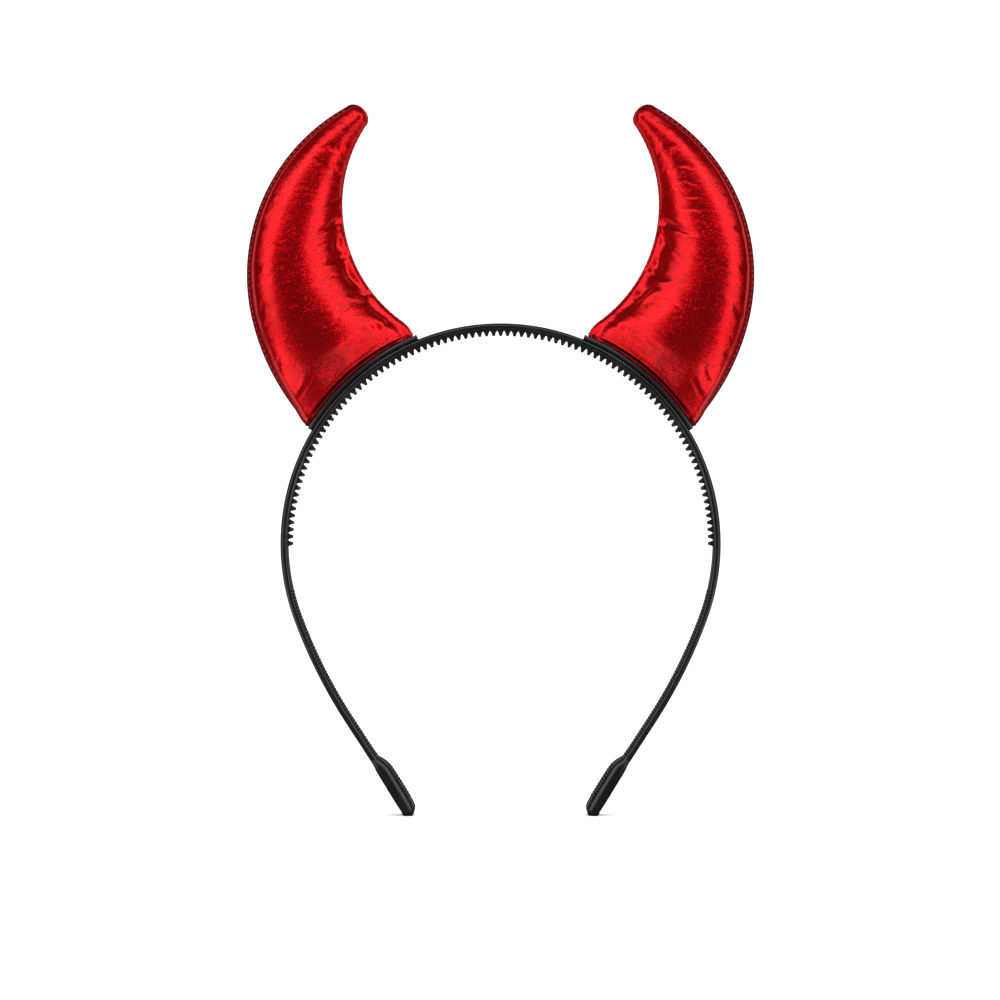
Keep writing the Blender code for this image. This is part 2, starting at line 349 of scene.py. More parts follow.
@dataclass(frozen=True)
class WovenStrip:
    """Black woven tape with a fine weave, pressed smooth, with a highlight painted along its upper
    edge.
    """

    name: str = "black_woven_strip"
    colour: tuple = (0.0052, 0.0046, 0.0056)
    # Lighter colour painted along the tape's upper edge as a highlight, and where it starts and
    # ends
    worn_colour: tuple = (0.042, 0.038, 0.044)
    highlight_reach: tuple = (0.40 * MM, 1.15 * MM)
    roughness: float = 0.26
    shine: float = 0.32
    thread: float = 0.5 * MM
    thread_height: float = 0.012 * MM
    thread_waver: float = 0.6
    # Share of the painted highlight that stays in the weave's hollows
    highlight_in_hollows: float = 0.6

    def make(self) -> bpy.types.Material:
        """Return the material."""
        surface = Surface(self.name)
        place = surface.attribute("tape_place", "Vector")
        bands = {"Scale": BAND_SCALE / self.thread, "Distortion": self.thread_waver, "Detail": 1.0}
        waves = [
            surface.node(
                "ShaderNodeTexWave",
                {"bands_direction": direction, "wave_profile": "SIN"},
                {"Vector": place, **bands},
                "Fac",
            )
            for direction in ("X", "Y")
        ]
        weave = waves[0] * waves[1]
        height = surface.node("ShaderNodeSeparateXYZ", None, {0: place}, "Z")
        # Painted highlight: the tape turns lighter towards its upper edge, less so in the weave's
        # hollows
        wear_and_highlight = surface.fade(height, self.highlight_reach)
        highlighted = wear_and_highlight * (self.highlight_in_hollows + (1.0 - self.highlight_in_hollows) * weave)
        colour = surface.blend(highlighted, self.colour, self.worn_colour)
        normal = surface.bump(weave, self.thread_height)
        inputs = {"Base Color": colour, "Roughness": self.roughness, "Normal": normal}
        return surface.finish({**inputs, "Specular IOR Level": self.shine})


@dataclass(frozen=True)
class RedFoil:
    """Red foil-coated fabric: metallic, finely crackled, with flecks that catch the light."""

    name: str = "red_foil"
    colour: tuple = (0.94, 0.0025, 0.009)
    rubbed_colour: tuple = (0.76, 0.0015, 0.005)
    seam_colour: tuple = (0.16, 0.002, 0.005)
    # Near-black colour painted as shade into the groove under the belly
    groove_colour: tuple = (0.02, 0.0, 0.0)
    edge_tint: tuple = (0.85, 0.12, 0.20)
    gloss: float = 0.28
    dull: float = 0.35
    seam_dull: float = 0.2
    film: float = 0.34
    film_roughness: float = 0.22
    fleck: float = 0.30 * MM
    fleck_tilt: float = 0.11
    sparkle_tilt: float = 0.50
    sparkle_rarity: float = 9.0
    grain: float = 0.35 * MM
    grain_height: float = 0.009 * MM
    crinkle: float = 6.0 * MM
    crinkle_stretch: float = 2.6
    crinkle_height: float = 0.07 * MM
    crinkle_stops: tuple = ((0.30, 0.0), (0.5, 1.0), (0.70, 0.2))
    crease: float = 8.0 * MM
    crease_roughness: float = 0.6
    crease_stretch: float = 3.2
    crease_slant: float = math.radians(24.0)
    crease_height: float = 0.27 * MM
    crease_reach: tuple = (-1.0 * MM, 8.0 * MM)
    crease_least: float = 0.03
    blot: float = 7.0 * MM
    rub_stops: tuple = ((0.38, 0.0), (0.70, 1.0))

    def make(self) -> bpy.types.Material:
        """Return the material."""
        surface = Surface(self.name)
        place = surface.place()
        fabric = surface.attribute("fabric_place", "Vector")
        crinkled = self.crinkles(surface, fabric, self.flecks(surface, place))
        normal = surface.bump(surface.noise(place, self.grain, 3.0), self.grain_height, crinkled)
        rub = surface.ramp(surface.noise(place, self.blot, 5.0), self.rub_stops)
        seam = surface.attribute("seam")
        colour = surface.blend(rub, self.colour, self.rubbed_colour)
        colour = surface.blend(seam, colour, self.seam_colour)
        # Painted shade: the fabric in the groove under the belly is darkened to near black
        colour = surface.blend(surface.attribute("groove"), colour, self.groove_colour)
        dulled = (self.dull - self.gloss) * number(rub) + self.seam_dull * seam
        inputs = {"Base Color": colour, "Roughness": self.gloss + dulled, "Normal": normal}
        film = {"Coat Weight": self.film, "Coat Roughness": self.film_roughness}
        tint = {"Metallic": 1.0, "Specular Tint": (*self.edge_tint, 1.0)}
        return surface.finish({**inputs, **tint, **film})

    def flecks(self, surface: Surface, place: Port) -> Port:
        """Tilt each small fleck of the foil its own way, and a few of them far.

        Args:
            surface: The material's graph.
            place: The surface point.

        Returns:
            The port of the flecks' normal.
        """
        flecks = surface.node(
            "ShaderNodeTexVoronoi", None, {"Vector": place, "Scale": 1.0 / self.fleck}, "Color"
        )
        tilt = surface.node(
            "ShaderNodeVectorMath", {"operation": "SUBTRACT"}, {0: flecks, 1: (0.5, 0.5, 0.5)}
        )
        chance = surface.node("ShaderNodeSeparateXYZ", None, {0: flecks}, "Z")
        rare = surface.power(chance, self.sparkle_rarity)
        amount = self.fleck_tilt + (self.sparkle_tilt - self.fleck_tilt) * rare
        own_normal = surface.node("ShaderNodeNewGeometry", None, None, "Normal")
        tilted = own_normal + tilt * amount
        return surface.node("ShaderNodeVectorMath", {"operation": "NORMALIZE"}, {0: tilted})

    def crinkles(self, surface: Surface, fabric: Port, fleck_normal: Port) -> Port:
        """Add the fine crinkles, and the slanting creases of the concave half.

        Args:
            surface: The material's graph.
            fabric: The place on the fabric.
            fleck_normal: The normal to start from.

        Returns:
            The port of the new normal.
        """
        stretched = surface.node(
            "ShaderNodeMapping", None, {"Vector": fabric, "Scale": (self.crinkle_stretch, 1.0, 1.0)}
        )
        creases = surface.noise(stretched, self.crinkle, 5.0)
        folded = surface.ramp(creases, self.crinkle_stops)
        crinkled = surface.bump(number(folded), self.crinkle_height, fleck_normal)
        slanted = surface.node(
            "ShaderNodeMapping",
            None,
            {
                "Vector": fabric,
                "Rotation": (0.0, 0.0, self.crease_slant),
                "Scale": (self.crease_stretch, 1.0, 1.0),
            },
        )
        lines = surface.node(
            "ShaderNodeTexNoise",
            {"noise_type": "RIDGED_MULTIFRACTAL", "normalize": True},
            {
                "Vector": slanted,
                "Scale": 1.0 / self.crease,
                "Detail": 5.0,
                "Roughness": self.crease_roughness,
            },
            "Fac",
        )
        side = surface.node("ShaderNodeSeparateXYZ", None, {0: fabric}, "Y")
        inner_half = surface.fade(side, self.crease_reach, self.crease_least)
        return surface.bump(lines * inner_half, self.crease_height, crinkled)


@dataclass(frozen=True)
class StitchThread:
    """Red polyester thread, twisted and slightly shiny."""

    name: str = "red_stitch_thread"
    colour: tuple = (0.56, 0.009, 0.020)
    shade_colour: tuple = (0.24, 0.003, 0.007)
    roughness: float = 0.38
    twist: float = 0.16 * MM
    twist_height: float = 0.02 * MM

    def make(self) -> bpy.types.Material:
        """Return the material."""
        surface = Surface(self.name)
        strands = surface.noise(surface.place(), self.twist, 1.0)
        colour = surface.blend(strands, self.shade_colour, self.colour)
        normal = surface.bump(strands, self.twist_height)
        inputs = {"Base Color": colour, "Roughness": self.roughness, "Normal": normal}
        return surface.finish(inputs)


@dataclass(frozen=True)
class PaleFloor:
    """The studio's plain white floor."""

    name: str = "pale_floor"
    colour: tuple = (0.92, 0.92, 0.92)
    mirrored_colour: tuple = (0.08, 0.08, 0.08)

    def make(self) -> bpy.types.Material:
        """Return the material, which glossy surfaces see as a dim floor."""
        surface = Surface(self.name)
        path = surface.node("ShaderNodeLightPath", None, None, "Is Glossy Ray")
        pale = surface.node("ShaderNodeBsdfDiffuse", None, {"Color": self.colour})
        dim = surface.node("ShaderNodeBsdfDiffuse", None, {"Color": self.mirrored_colour})
        mixed = surface.node("ShaderNodeMixShader", None, {0: path, 1: pale, 2: dim})
        surface.node("ShaderNodeOutputMaterial", None, {"Surface": mixed})
        return surface.material


def number(port: Port) -> Port:
    """Return a grey colour port as a plain number, which keeps it off the Mix nodes."""
    return port.graph.node("ShaderNodeRGBToBW", None, {"Color": port})


def polar(centre: Vector, radius: float, angle: float) -> Vector:
    """Return the point of a circle in the X, Z plane at an angle above the X axis."""
    return centre + radius * Vector((math.cos(angle), math.sin(angle)))


def smooth_read(place: float, places: Sequence[float], values: np.ndarray) -> np.ndarray:
    """Read a curve that passes smoothly through its points without overshooting.

    Args:
        place: Where to read it.
        places: The points' places, in rising order.
        values: One row of values for each point.

    Returns:
        The row of values at place.
    """
    steps = np.diff(places)[:, None]
    slopes = np.diff(values, axis=0) / steps
    tangents = np.zeros_like(values)
    tangents[0] = slopes[0]
    tangents[-1] = slopes[-1]
    both = slopes[:-1] * slopes[1:]
    mean = 2 * both / np.where(both > 0, slopes[:-1] + slopes[1:], 1.0)
    tangents[1:-1] = np.where(both > 0, mean, 0.0)
    k = int(np.clip(np.searchsorted(places, place) - 1, 0, len(steps) - 1))
    width = steps[k, 0]
    t = min(1.0, max(0.0, (place - places[k]) / width))
    ease = t * t * (3 - 2 * t)
    start_pull = width * t * (1 - t) ** 2
    end_pull = -width * t * t * (1 - t)
    mixed = (1 - ease) * values[k] + ease * values[k + 1]
    return mixed + start_pull * tangents[k] + end_pull * tangents[k + 1]


def rounded_outline(
    outer: float, inner: float, depth: float, edges: tuple[float, float], steps: int
) -> list[tuple[float, float]]:
    """Return a flat bar's cross-section with rounded edges.

    Args:
        outer: Distance of the outer face from the route.
        inner: Distance of the inner face.
        depth: Size along Y.
        edges: Radius of the outer face's rounded edges, and of the inner face's.
        steps: Number of faces in a rounded edge.

    Returns:
        (distance outward, Y) pairs, once round.
    """
    half = depth / 2
    wide, narrow = max(edges), min(edges)
    corners = (
        (outer - edges[0], half - edges[0], edges[0], 0.0),
        (inner + edges[1], half - edges[1], edges[1], 90.0),
        (inner + edges[1], edges[1] - half, edges[1], 180.0),
        (outer - edges[0], edges[0] - half, edges[0], 270.0),
    )
    flats = (outer - inner - wide - narrow, depth - 2 * wide)
    support = min(SUPPORT_OF_EDGE * narrow, SUPPORT_OF_FLAT * min(flats))
    points = []
    for distance, y, edge, start in corners:
        for k in range(-1, steps + 2):
            turn = math.radians(start + 90.0 * min(max(k, 0), steps) / steps)
            along = support if k < 0 or k > steps else 0.0
            away = -1.0 if k < 0 else 1.0
            points.append(
                (
                    distance + edge * math.cos(turn) - along * away * math.sin(turn),
                    y + edge * math.sin(turn) + along * away * math.cos(turn),
                )
            )
    return points


def new_piece(name: str, bm: bmesh.types.BMesh, smooth_angle: float = 180.0) -> bpy.types.Object:
    """Turn a bmesh into an object with smooth faces.

    Args:
        name: The piece's name.
        bm: The mesh, which is freed.
        smooth_angle: Edges that bend more than this many degrees stay sharp.

    Returns:
        The new object.
    """
    mesh = bpy.data.meshes.new(name)
    bm.to_mesh(mesh)
    bm.free()
    mesh.shade_smooth()
    if smooth_angle < 180.0:
        mesh.set_sharp_from_angle(angle=math.radians(smooth_angle))
    piece = bpy.data.objects.new(name, mesh)
    bpy.context.scene.collection.objects.link(piece)
    return piece


def bake_modifiers(piece: bpy.types.Object) -> None:
    """Replace a piece's mesh by the result of its modifiers, and remove them."""
    graph = bpy.context.evaluated_depsgraph_get()
    mesh = bpy.data.meshes.new_from_object(piece.evaluated_get(graph), depsgraph=graph)
    piece.modifiers.clear()
    piece.data = mesh
    mesh.name = piece.name


def install(
    piece: bpy.types.Object,
    material: bpy.types.Material,
    stands_for: Iterable[str] = (),
) -> None:
    """Give a finished piece its material, its body and the nodes it stands for.

    Args:
        piece: The piece, in place.
        material: Its finish.
        stands_for: Names of the nodes that it replaces.
    """
    piece.data.materials.clear()
    piece.data.materials.append(material)
    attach(piece, BODY)
    if stands_for:
        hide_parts(*stands_for)
    lowest, highest = (
        [round(level / MM, 1) for level in corner] for corner in piece_box(piece)
    )
    log.info("%s: %d faces, %s to %s mm", piece.name, len(piece.data.polygons), lowest, highest)


def piece_box(piece: bpy.types.Object) -> tuple[np.ndarray, np.ndarray]:
    """Return the lowest and highest corner of a piece's mesh."""
    places = vertex_places(piece.data)
    return places.min(0), places.max(0)


def vertex_places(mesh: bpy.types.Mesh) -> np.ndarray:
    """Return a mesh's vertex places as rows of three numbers."""
    places = np.empty(len(mesh.vertices) * 3)
    mesh.vertices.foreach_get("co", places)
    return places.reshape(-1, 3)


@dataclass(frozen=True)
class BandRoute:
    """The line of the band's outer face on its right half: a wide arch, a gentle arc, a leg."""

    arch_radius: float = 64.6 * MM
    arch_centre_z: float = 79.9 * MM
    arch_end: float = math.radians(-20.2)
    side_radius: float = 151.8 * MM
    side_end: float = math.radians(-33.1)

    @property
    def arch_centre(self) -> Vector:
        """Return the arch's centre in the X, Z plane."""
        return Vector((0.0, self.arch_centre_z))

    def arch(self, angle: float) -> tuple[Vector, Vector]:
        """Return the point and outward direction of the arch at an angle."""
        outward = Vector((math.cos(angle), math.sin(angle)))
        return self.arch_centre + self.arch_radius * outward, outward

    def flank(self, angle: float) -> tuple[Vector, Vector]:
        """Return the point and outward direction of the gentle arc at an angle."""
        start, _ = self.arch(self.arch_end)
        centre = polar(start, -self.side_radius, self.arch_end)
        outward = Vector((math.cos(angle), math.sin(angle)))
        return centre + self.side_radius * outward, outward

    def leg(self, along: float) -> tuple[Vector, Vector]:
        """Return the point and outward direction of the leg at a distance down it."""
        start, outward = self.flank(self.side_end)
        down = Vector((outward.y, -outward.x))
        return start + along * down, outward


@dataclass(frozen=True)
class BarSection:
    """One cross-section of the band: its place on the route and its measures.

    Rounding is the radius of its outer edges and hollow that of its inner edges.
    """

    point: Vector
    outward: Vector
    outer: float
    inner: float
    depth: float
    rounding: float
    hollow: float


@dataclass
class CombBand:
    """The one-piece moulded headband with its comb teeth and paddle tips."""

    route: BandRoute
    depth: float = 8.0 * MM
    thick_top: float = 2.1 * MM
    thick_leg: float = 2.4 * MM
    rounding_shares: tuple = (0.46, 0.24)
    hollow_shares: tuple = (0.38, 0.68)
    edge_steps: int = 7
    arch_step: float = math.radians(1.0)
    flank_step: float = math.radians(0.6)
    leg_step: float = 0.5 * MM
    foot_round: float = 1.1 * MM
    foot_turns: tuple = (18.0, 36.0, 54.0, 72.0, 90.0)
    foot_draw: float = 0.8
    tooth_pitch: float = math.radians(1.916)
    teeth_per_side: int = 47
    tooth_root: float = 2.05 * MM
    tooth_tip: float = 0.97 * MM
    tooth_length: float = 1.45 * MM
    tooth_sink: float = 0.15 * MM
    tooth_depth: float = 5.2 * MM
    tooth_tip_depth: float = 4.8 * MM
    tooth_flare: float = 2.0
    tooth_end_taper: float = 0.12
    tooth_end_bend: float = 6.0
    rib_pitch: float = 0.98 * MM
    rib_width: float = 0.45 * MM
    rib_height: float = 1.1 * MM
    rib_proud: float = 0.13 * MM
    rib_round: float = 0.3
    rib_end_bend: float = 6.0
    rib_show: float = 0.88 * MM
    rib_above: float = 42.0 * MM
    rib_leg_end: float = 12.6 * MM
    rib_tip: tuple = (17.0 * MM, 28.0 * MM)

    # Distance along the leg, then a section's outer, inner, depth, rounding and hollow, in mm
    TIP_ROWS = (
        (0.0, 0.0, -2.4, 8.0, 0.58, 1.63),
        (7.0, 0.0, -2.4, 8.0, 0.58, 1.63),
        (13.0, 0.0, -2.5, 8.0, 0.6, 1.7),
        (14.4, 0.0, -3.2, 8.8, 0.8, 2.2),
        (16.4, 0.25, -3.95, 9.8, 1.1, 2.8),
        (19.0, 0.35, -4.2, 10.2, 1.3, 3.0),
        (29.4, 0.6, -3.95, 10.2, 1.3, 3.0),
        (31.4, 0.5, -3.65, 10.0, 1.2, 2.7),
        (32.2, 0.35, -3.15, 9.7, 1.1, 2.2),
        (32.8, 0.05, -2.35, 9.3, 0.8, 1.4),
        (33.4, -0.6, -1.3, 8.8, 0.3, 0.35),
    )

    def thickness(self, share: float) -> float:
        """Return the wall at a share of the way from the last tooth to the leg."""
        return self.thick_top + share * (self.thick_leg - self.thick_top)

    def sections(self) -> list[BarSection]:
        """Return the cross-sections of the right half, from the top to the tip."""
        last_tooth = math.pi / 2 - self.teeth_per_side * self.tooth_pitch
        whole = last_tooth - self.route.side_end
        places = []
        count = round((math.pi / 2 - self.route.arch_end) / self.arch_step)
        for angle in np.linspace(math.pi / 2, self.route.arch_end, count + 1).tolist():
            places.append((angle, *self.route.arch(angle)))
        count = round((self.route.arch_end - self.route.side_end) / self.flank_step)
        for angle in np.linspace(self.route.arch_end, self.route.side_end, count + 1)[1:].tolist():
            places.append((angle, *self.route.flank(angle)))
        found = []
        for angle, point, outward in places:
            share = max(0.0, (last_tooth - angle) / whole)
            wall = self.thickness(share)
            edges = [
                wall * (arch + share * (leg - arch))
                for arch, leg in (self.rounding_shares, self.hollow_shares)
            ]
            found.append(BarSection(point, outward, 0.0, -wall, self.depth, *edges))
        rows = np.array(self.TIP_ROWS) * MM
        count = round(rows[-1, 0] / self.leg_step)
        for along in np.linspace(0.0, rows[-1, 0], count + 1)[1:].tolist():
            measures = smooth_read(along, rows[:, 0], rows[:, 1:]).tolist()
            found.append(BarSection(*self.route.leg(along), *measures))
        return found

    def add_ring(self, bm: bmesh.types.BMesh, section: BarSection, side: int) -> list:
        """Add the vertices of a cross-section.

        Args:
            bm: The mesh.
            section: The cross-section.
            side: 1 for the right half and -1 for the left.

        Returns:
            The ring's vertices.
        """
        ring = []
        edges = (section.rounding, section.hollow)
        for distance, y in rounded_outline(
            section.outer, section.inner, section.depth, edges, self.edge_steps
        ):
            place = section.point + distance * section.outward
            ring.append(bm.verts.new((side * place.x, y, place.y)))
        return ring

    def make_body(self, finish: GlossPlastic) -> bpy.types.Object:
        """Make the arch, the legs and the tips, cut off at their flat feet.

        Args:
            finish: The plastic.

        Returns:
            The piece.
        """
        bm = bmesh.new()
        half = self.sections()
        rings = [self.add_ring(bm, section, -1) for section in reversed(half[1:])]
        rings += [self.add_ring(bm, section, 1) for section in half]
        bridge_rings(bm, rings)
        bm.faces.new(rings[0])
        bm.faces.new(rings[-1])
        self.cut_feet(bm)
        bmesh.ops.recalc_face_normals(bm, faces=bm.faces)
        piece = new_piece("moulded_band", bm, SHARP_BEND)
        install(piece, finish.make(), ["comb_band"])
        return piece

    def cut_feet(self, bm: bmesh.types.BMesh) -> None:
        """Cut the tips just above the floor and close each with a rounded rim and a flat foot."""
        level = self.foot_round
        cut = bmesh.ops.bisect_plane(
            bm,
            geom=bm.verts[:] + bm.edges[:] + bm.faces[:],
            plane_co=(0.0, 0.0, level),
            plane_no=(0.0, 0.0, 1.0),
            clear_inner=True,
        )
        rim = [item for item in cut["geom_cut"] if isinstance(item, bmesh.types.BMEdge)]
        last_draw = 0.0
        for turn in self.foot_turns:
            angle = math.radians(turn)
            draw = self.foot_draw * level * (1.0 - math.cos(angle))
            grown = bmesh.ops.extrude_edge_only(bm, edges=rim)["geom"]
            rim = [item for item in grown if isinstance(item, bmesh.types.BMEdge)]
            points = [item for item in grown if isinstance(item, bmesh.types.BMVert)]
            for side in (-1, 1):
                foot = [point for point in points if point.co.x * side > 0]
                middle = sum((point.co for point in foot), Vector()) / len(foot)
                for axis in (0, 1):
                    half = max(abs(point.co[axis] - middle[axis]) for point in foot)
                    share = 1.0 - (draw - last_draw) / half
                    for point in foot:
                        point.co[axis] = middle[axis] + share * (point.co[axis] - middle[axis])
                for point in foot:
                    point.co.z = level * (1.0 - math.sin(angle))
            last_draw = draw
        bmesh.ops.edgenet_fill(bm, edges=rim)

    def tooth_tree(self) -> bpy.types.NodeTree:
        """Return the geometry tree that stands tapered teeth along the inside of the arch."""
        places = ("Pitch", "Foot Radius", "Centre Height")
        sizes = ("Root", "Tip", "Length", "Depth", "Tip Depth")
        graph, given = start_tree("comb_teeth_row", {"Count": "Int"}, places + sizes)
        tooth = self.tooth_shape(graph, given)
        index = graph.node("GeometryNodeInputIndex")
        middle = (given.sibling("Count") - 1.0) * 0.5
        turn = (index - middle) * given.sibling("Pitch")
        radius = given.sibling("Foot Radius")
        across = graph.node("ShaderNodeMath", {"operation": "SINE"}, {0: turn}) * radius
        up = graph.node("ShaderNodeMath", {"operation": "COSINE"}, {0: turn}) * radius
        spot = graph.vector(across, 0.0, up + given.sibling("Centre Height"))
        points = graph.node(
            "GeometryNodePoints", None, {"Count": given.sibling("Count"), "Position": spot}
        )
        lean = graph.vector(0.0, turn, 0.0)
        return end_tree(graph, given, {"Points": points, "Instance": tooth, "Rotation": lean})

    def tooth_shape(self, graph: Graph, given: Port) -> Port:
        """Add the nodes of one tooth, which hangs down from the origin and narrows to its tip.

        Args:
            graph: The tree's graph.
            given: A port of the tree's input node.

        Returns:
            The tooth's geometry.
        """
        length = given.sibling("Length")
        size = graph.vector(given.sibling("Root"), given.sibling("Depth"), length)
        counts = {"Vertices X": 3, "Vertices Y": 3, "Vertices Z": 6}
        block = graph.node("GeometryNodeMeshCube", None, {"Size": size, **counts}, "Mesh")
        spot = graph.node("GeometryNodeInputPosition")
        parts = graph.node("ShaderNodeSeparateXYZ", None, {0: spot})
        down = 0.5 - graph.ratio(parts.sibling("Z"), length)
        end = self.tooth_end_taper * graph.power(down, self.tooth_end_bend)
        ratios = [
            graph.ratio(given.sibling(tip), given.sibling(root))
            for tip, root in (("Tip", "Root"), ("Tip Depth", "Depth"))
        ]
        flare = graph.power(1.0 - down, self.tooth_flare)
        narrow = ratios[0] + flare * (1.0 - ratios[0]) - end
        shallow = 1.0 - down * (1.0 - ratios[1]) - end
        shaped = graph.vector(
            parts.sibling("X") * narrow, parts.sibling("Y") * shallow, down * length * -1.0
        )
        moved = graph.node("GeometryNodeSetPosition", None, {"Geometry": block, "Position": shaped})
        return graph.node(
            "GeometryNodeSetShadeSmooth", None, {"Geometry": moved, "Shade Smooth": False}
        )

    def rib_places(self) -> list[tuple[Vector, float, float]]:
        """Return the inner-side point, lean and depth of each grip rib on the right half."""
        found = []
        sections = self.sections()
        inner = [item.point + item.inner * item.outward for item in sections]
        runs = np.cumsum([0.0] + [(b - a).length for a, b in zip(inner, inner[1:])])
        tip_start = len(sections) - round(self.TIP_ROWS[-1][0] * MM / self.leg_step)
        stretches = (
            (runs[tip_start] - self.rib_above, runs[tip_start] + self.rib_leg_end),
            (runs[tip_start] + self.rib_tip[0], runs[tip_start] + self.rib_tip[1]),
        )
        for start, end in stretches:
            for run in np.arange(start, end, self.rib_pitch).tolist():
                k = int(np.searchsorted(runs, run)) - 1
                share = (run - runs[k]) / (runs[k + 1] - runs[k])
                first, second = sections[k], sections[k + 1]
                outward = first.outward.lerp(second.outward, share)
                place = inner[k].lerp(inner[k + 1], share)
                place += (self.rib_height / 2 - self.rib_proud) * outward
                drop = first.hollow - self.rib_show
                depth = first.depth - 2 * (first.hollow - math.sqrt(first.hollow**2 - drop**2))
                found.append((place, math.atan2(outward.y, outward.x), depth))
        return found

    def rib_tree(self) -> bpy.types.NodeTree:
        """Return the geometry tree that lays a low rounded rib on each point it is given."""
        first = {"Geometry": "Geometry"}
        graph, given = start_tree("grip_rib_row", first, ("Width", "Height", "Round"))
        size = graph.vector(given.sibling("Height"), 1.0, given.sibling("Width"))
        counts = {"Vertices X": 4, "Vertices Y": 8, "Vertices Z": 4}
        block = graph.node("GeometryNodeMeshCube", None, {"Size": size, **counts}, "Mesh")
        spot = graph.node("GeometryNodeInputPosition")
        parts = graph.node("ShaderNodeSeparateXYZ", None, {0: spot})
        ends = graph.power(self.magnitude(parts.sibling("Y") * 2.0), self.rib_end_bend)
        kept = 1.0 - ends * given.sibling("Round")
        shaped = graph.vector(
            parts.sibling("X") * kept, parts.sibling("Y"), parts.sibling("Z") * kept
        )
        rib = graph.node("GeometryNodeSetPosition", None, {"Geometry": block, "Position": shaped})
        turn, scale = (
            graph.node("GeometryNodeInputNamedAttribute", {"data_type": "FLOAT_VECTOR"}, {0: name})
            for name in ("lean", "size")
        )
        inputs = {"Points": given, "Instance": rib, "Rotation": turn, "Scale": scale}
        return end_tree(graph, given, inputs)

    @staticmethod
    def magnitude(port: Port) -> Port:
        """Return a number without its sign."""
        return port.graph.node("ShaderNodeMath", {"operation": "ABSOLUTE"}, {0: port})

    def make_ribs(self, finish: GlossPlastic) -> bpy.types.Object:
        """Make the fine grip ribs on the inner side of the legs and tips.

        Args:
            finish: The plastic.

        Returns:
            The piece.
        """
        bm = bmesh.new()
        lean = bm.verts.layers.float_vector.new("lean")
        size = bm.verts.layers.float_vector.new("size")
        for side in (-1, 1):
            for place, angle, depth in self.rib_places():
                vert = bm.verts.new((side * place.x, 0.0, place.y))
                vert[lean] = (0.0, -angle if side > 0 else angle - math.pi, 0.0)
                vert[size] = (1.0, depth, 1.0)
        material = finish.make()
        sizes = {"Width": self.rib_width, "Height": self.rib_height, "Round": self.rib_round}
        piece = grow("grip_ribs", self.rib_tree(), sizes, material, bm)
        install(piece, material, ["comb_band"])
        return piece

    def make_teeth(self, finish: GlossPlastic) -> bpy.types.Object:
        """Make the row of comb teeth on the inside of the arch.

        Args:
            finish: The plastic.

        Returns:
            The piece.
        """
        material = finish.make()
        foot_radius = self.route.arch_radius - self.thick_top + self.tooth_sink
        sizes = {
            "Count": 2 * self.teeth_per_side + 1,
            "Pitch": self.tooth_pitch,
            "Foot Radius": foot_radius,
            "Centre Height": self.route.arch_centre_z,
            "Root": self.tooth_root,
            "Tip": self.tooth_tip,
            "Length": self.tooth_length + self.tooth_sink,
            "Depth": self.tooth_depth,
            "Tip Depth": self.tooth_tip_depth,
        }
        piece = grow("comb_teeth", self.tooth_tree(), sizes, material)
        install(piece, material, ["comb_band"])
        return piece

    def build(self, finish: GlossPlastic) -> None:
        """Build the band, its teeth and its grip ribs."""
        self.make_body(finish)
        self.make_teeth(finish)
        self.make_ribs(finish)


def bridge_rings(bm: bmesh.types.BMesh, rings: Sequence[list]) -> None:
    """Join each ring of vertices to the next with quads."""
    for first, second in zip(rings, rings[1:]):
        count = len(first)
        for i in range(count):
            j = (i + 1) % count
            bm.faces.new((first[i], first[j], second[j], second[i]))


def start_tree(name: str, first: dict[str, str], sizes: Sequence[str]) -> tuple[Graph, Port]:
    """Start a geometry tree with named inputs, a material and one geometry output.

    Args:
        name: The tree's name.
        first: Names and kinds of the inputs that come before the sizes.
        sizes: Names of the inputs that are sizes or other plain numbers.

    Returns:
        The tree's graph and a port of its input node.
    """
    tree = bpy.data.node_groups.new(name, "GeometryNodeTree")
    kinds = {**first, **dict.fromkeys(sizes, "Float"), "Material": "Material"}
    for label, kind in kinds.items():
        tree.interface.new_socket(label, in_out="INPUT", socket_type=f"NodeSocket{kind}")
    tree.interface.new_socket("Geometry", in_out="OUTPUT", socket_type="NodeSocketGeometry")
    graph = Graph(tree)
    return graph, graph.node("NodeGroupInput")


def end_tree(graph: Graph, given: Port, copies: dict) -> bpy.types.NodeTree:
    """End a geometry tree in real copies of a shape that wear the tree's material.

    Args:
        graph: The tree's graph.
        given: A port of the tree's input node.
        copies: The points, the shape, and its turn and scale on each point.

    Returns:
        The finished tree.
    """
    placed = graph.node("GeometryNodeInstanceOnPoints", None, copies)
    real = graph.node("GeometryNodeRealizeInstances", None, {"Geometry": placed})
    inputs = {"Geometry": real, "Material": given.sibling("Material")}
    dressed = graph.node("GeometryNodeSetMaterial", None, inputs)
    graph.node("NodeGroupOutput", None, {"Geometry": dressed})
    return graph.tree


def grow(
    name: str,
    tree: bpy.types.NodeTree,
    sizes: dict,
    material: bpy.types.Material,
    points: Optional[bmesh.types.BMesh] = None,
) -> bpy.types.Object:
    """Run a geometry tree once and keep its result as a plain mesh.

    Args:
        name: The new piece's name.
        tree: The geometry tree.
        sizes: The tree's named inputs, apart from its material.
        material: The tree's material.
        points: The points that the tree puts a copy on, if it takes any. They are freed.

    Returns:
        The piece, without modifiers.
    """
    mesh = bpy.data.meshes.new(name)
    if points is not None:
        points.to_mesh(mesh)
        points.free()
    piece = bpy.data.objects.new(name, mesh)
    bpy.context.scene.collection.objects.link(piece)
    modifier = piece.modifiers.new("repeat", "NODES")
    modifier.node_group = tree
    values = {**sizes, "Material": material}
    for item in tree.interface.items_tree:
        if item.in_out == "INPUT" and item.name in values:
            modifier[item.identifier] = values[item.name]
    bake_modifiers(piece)
    return piece


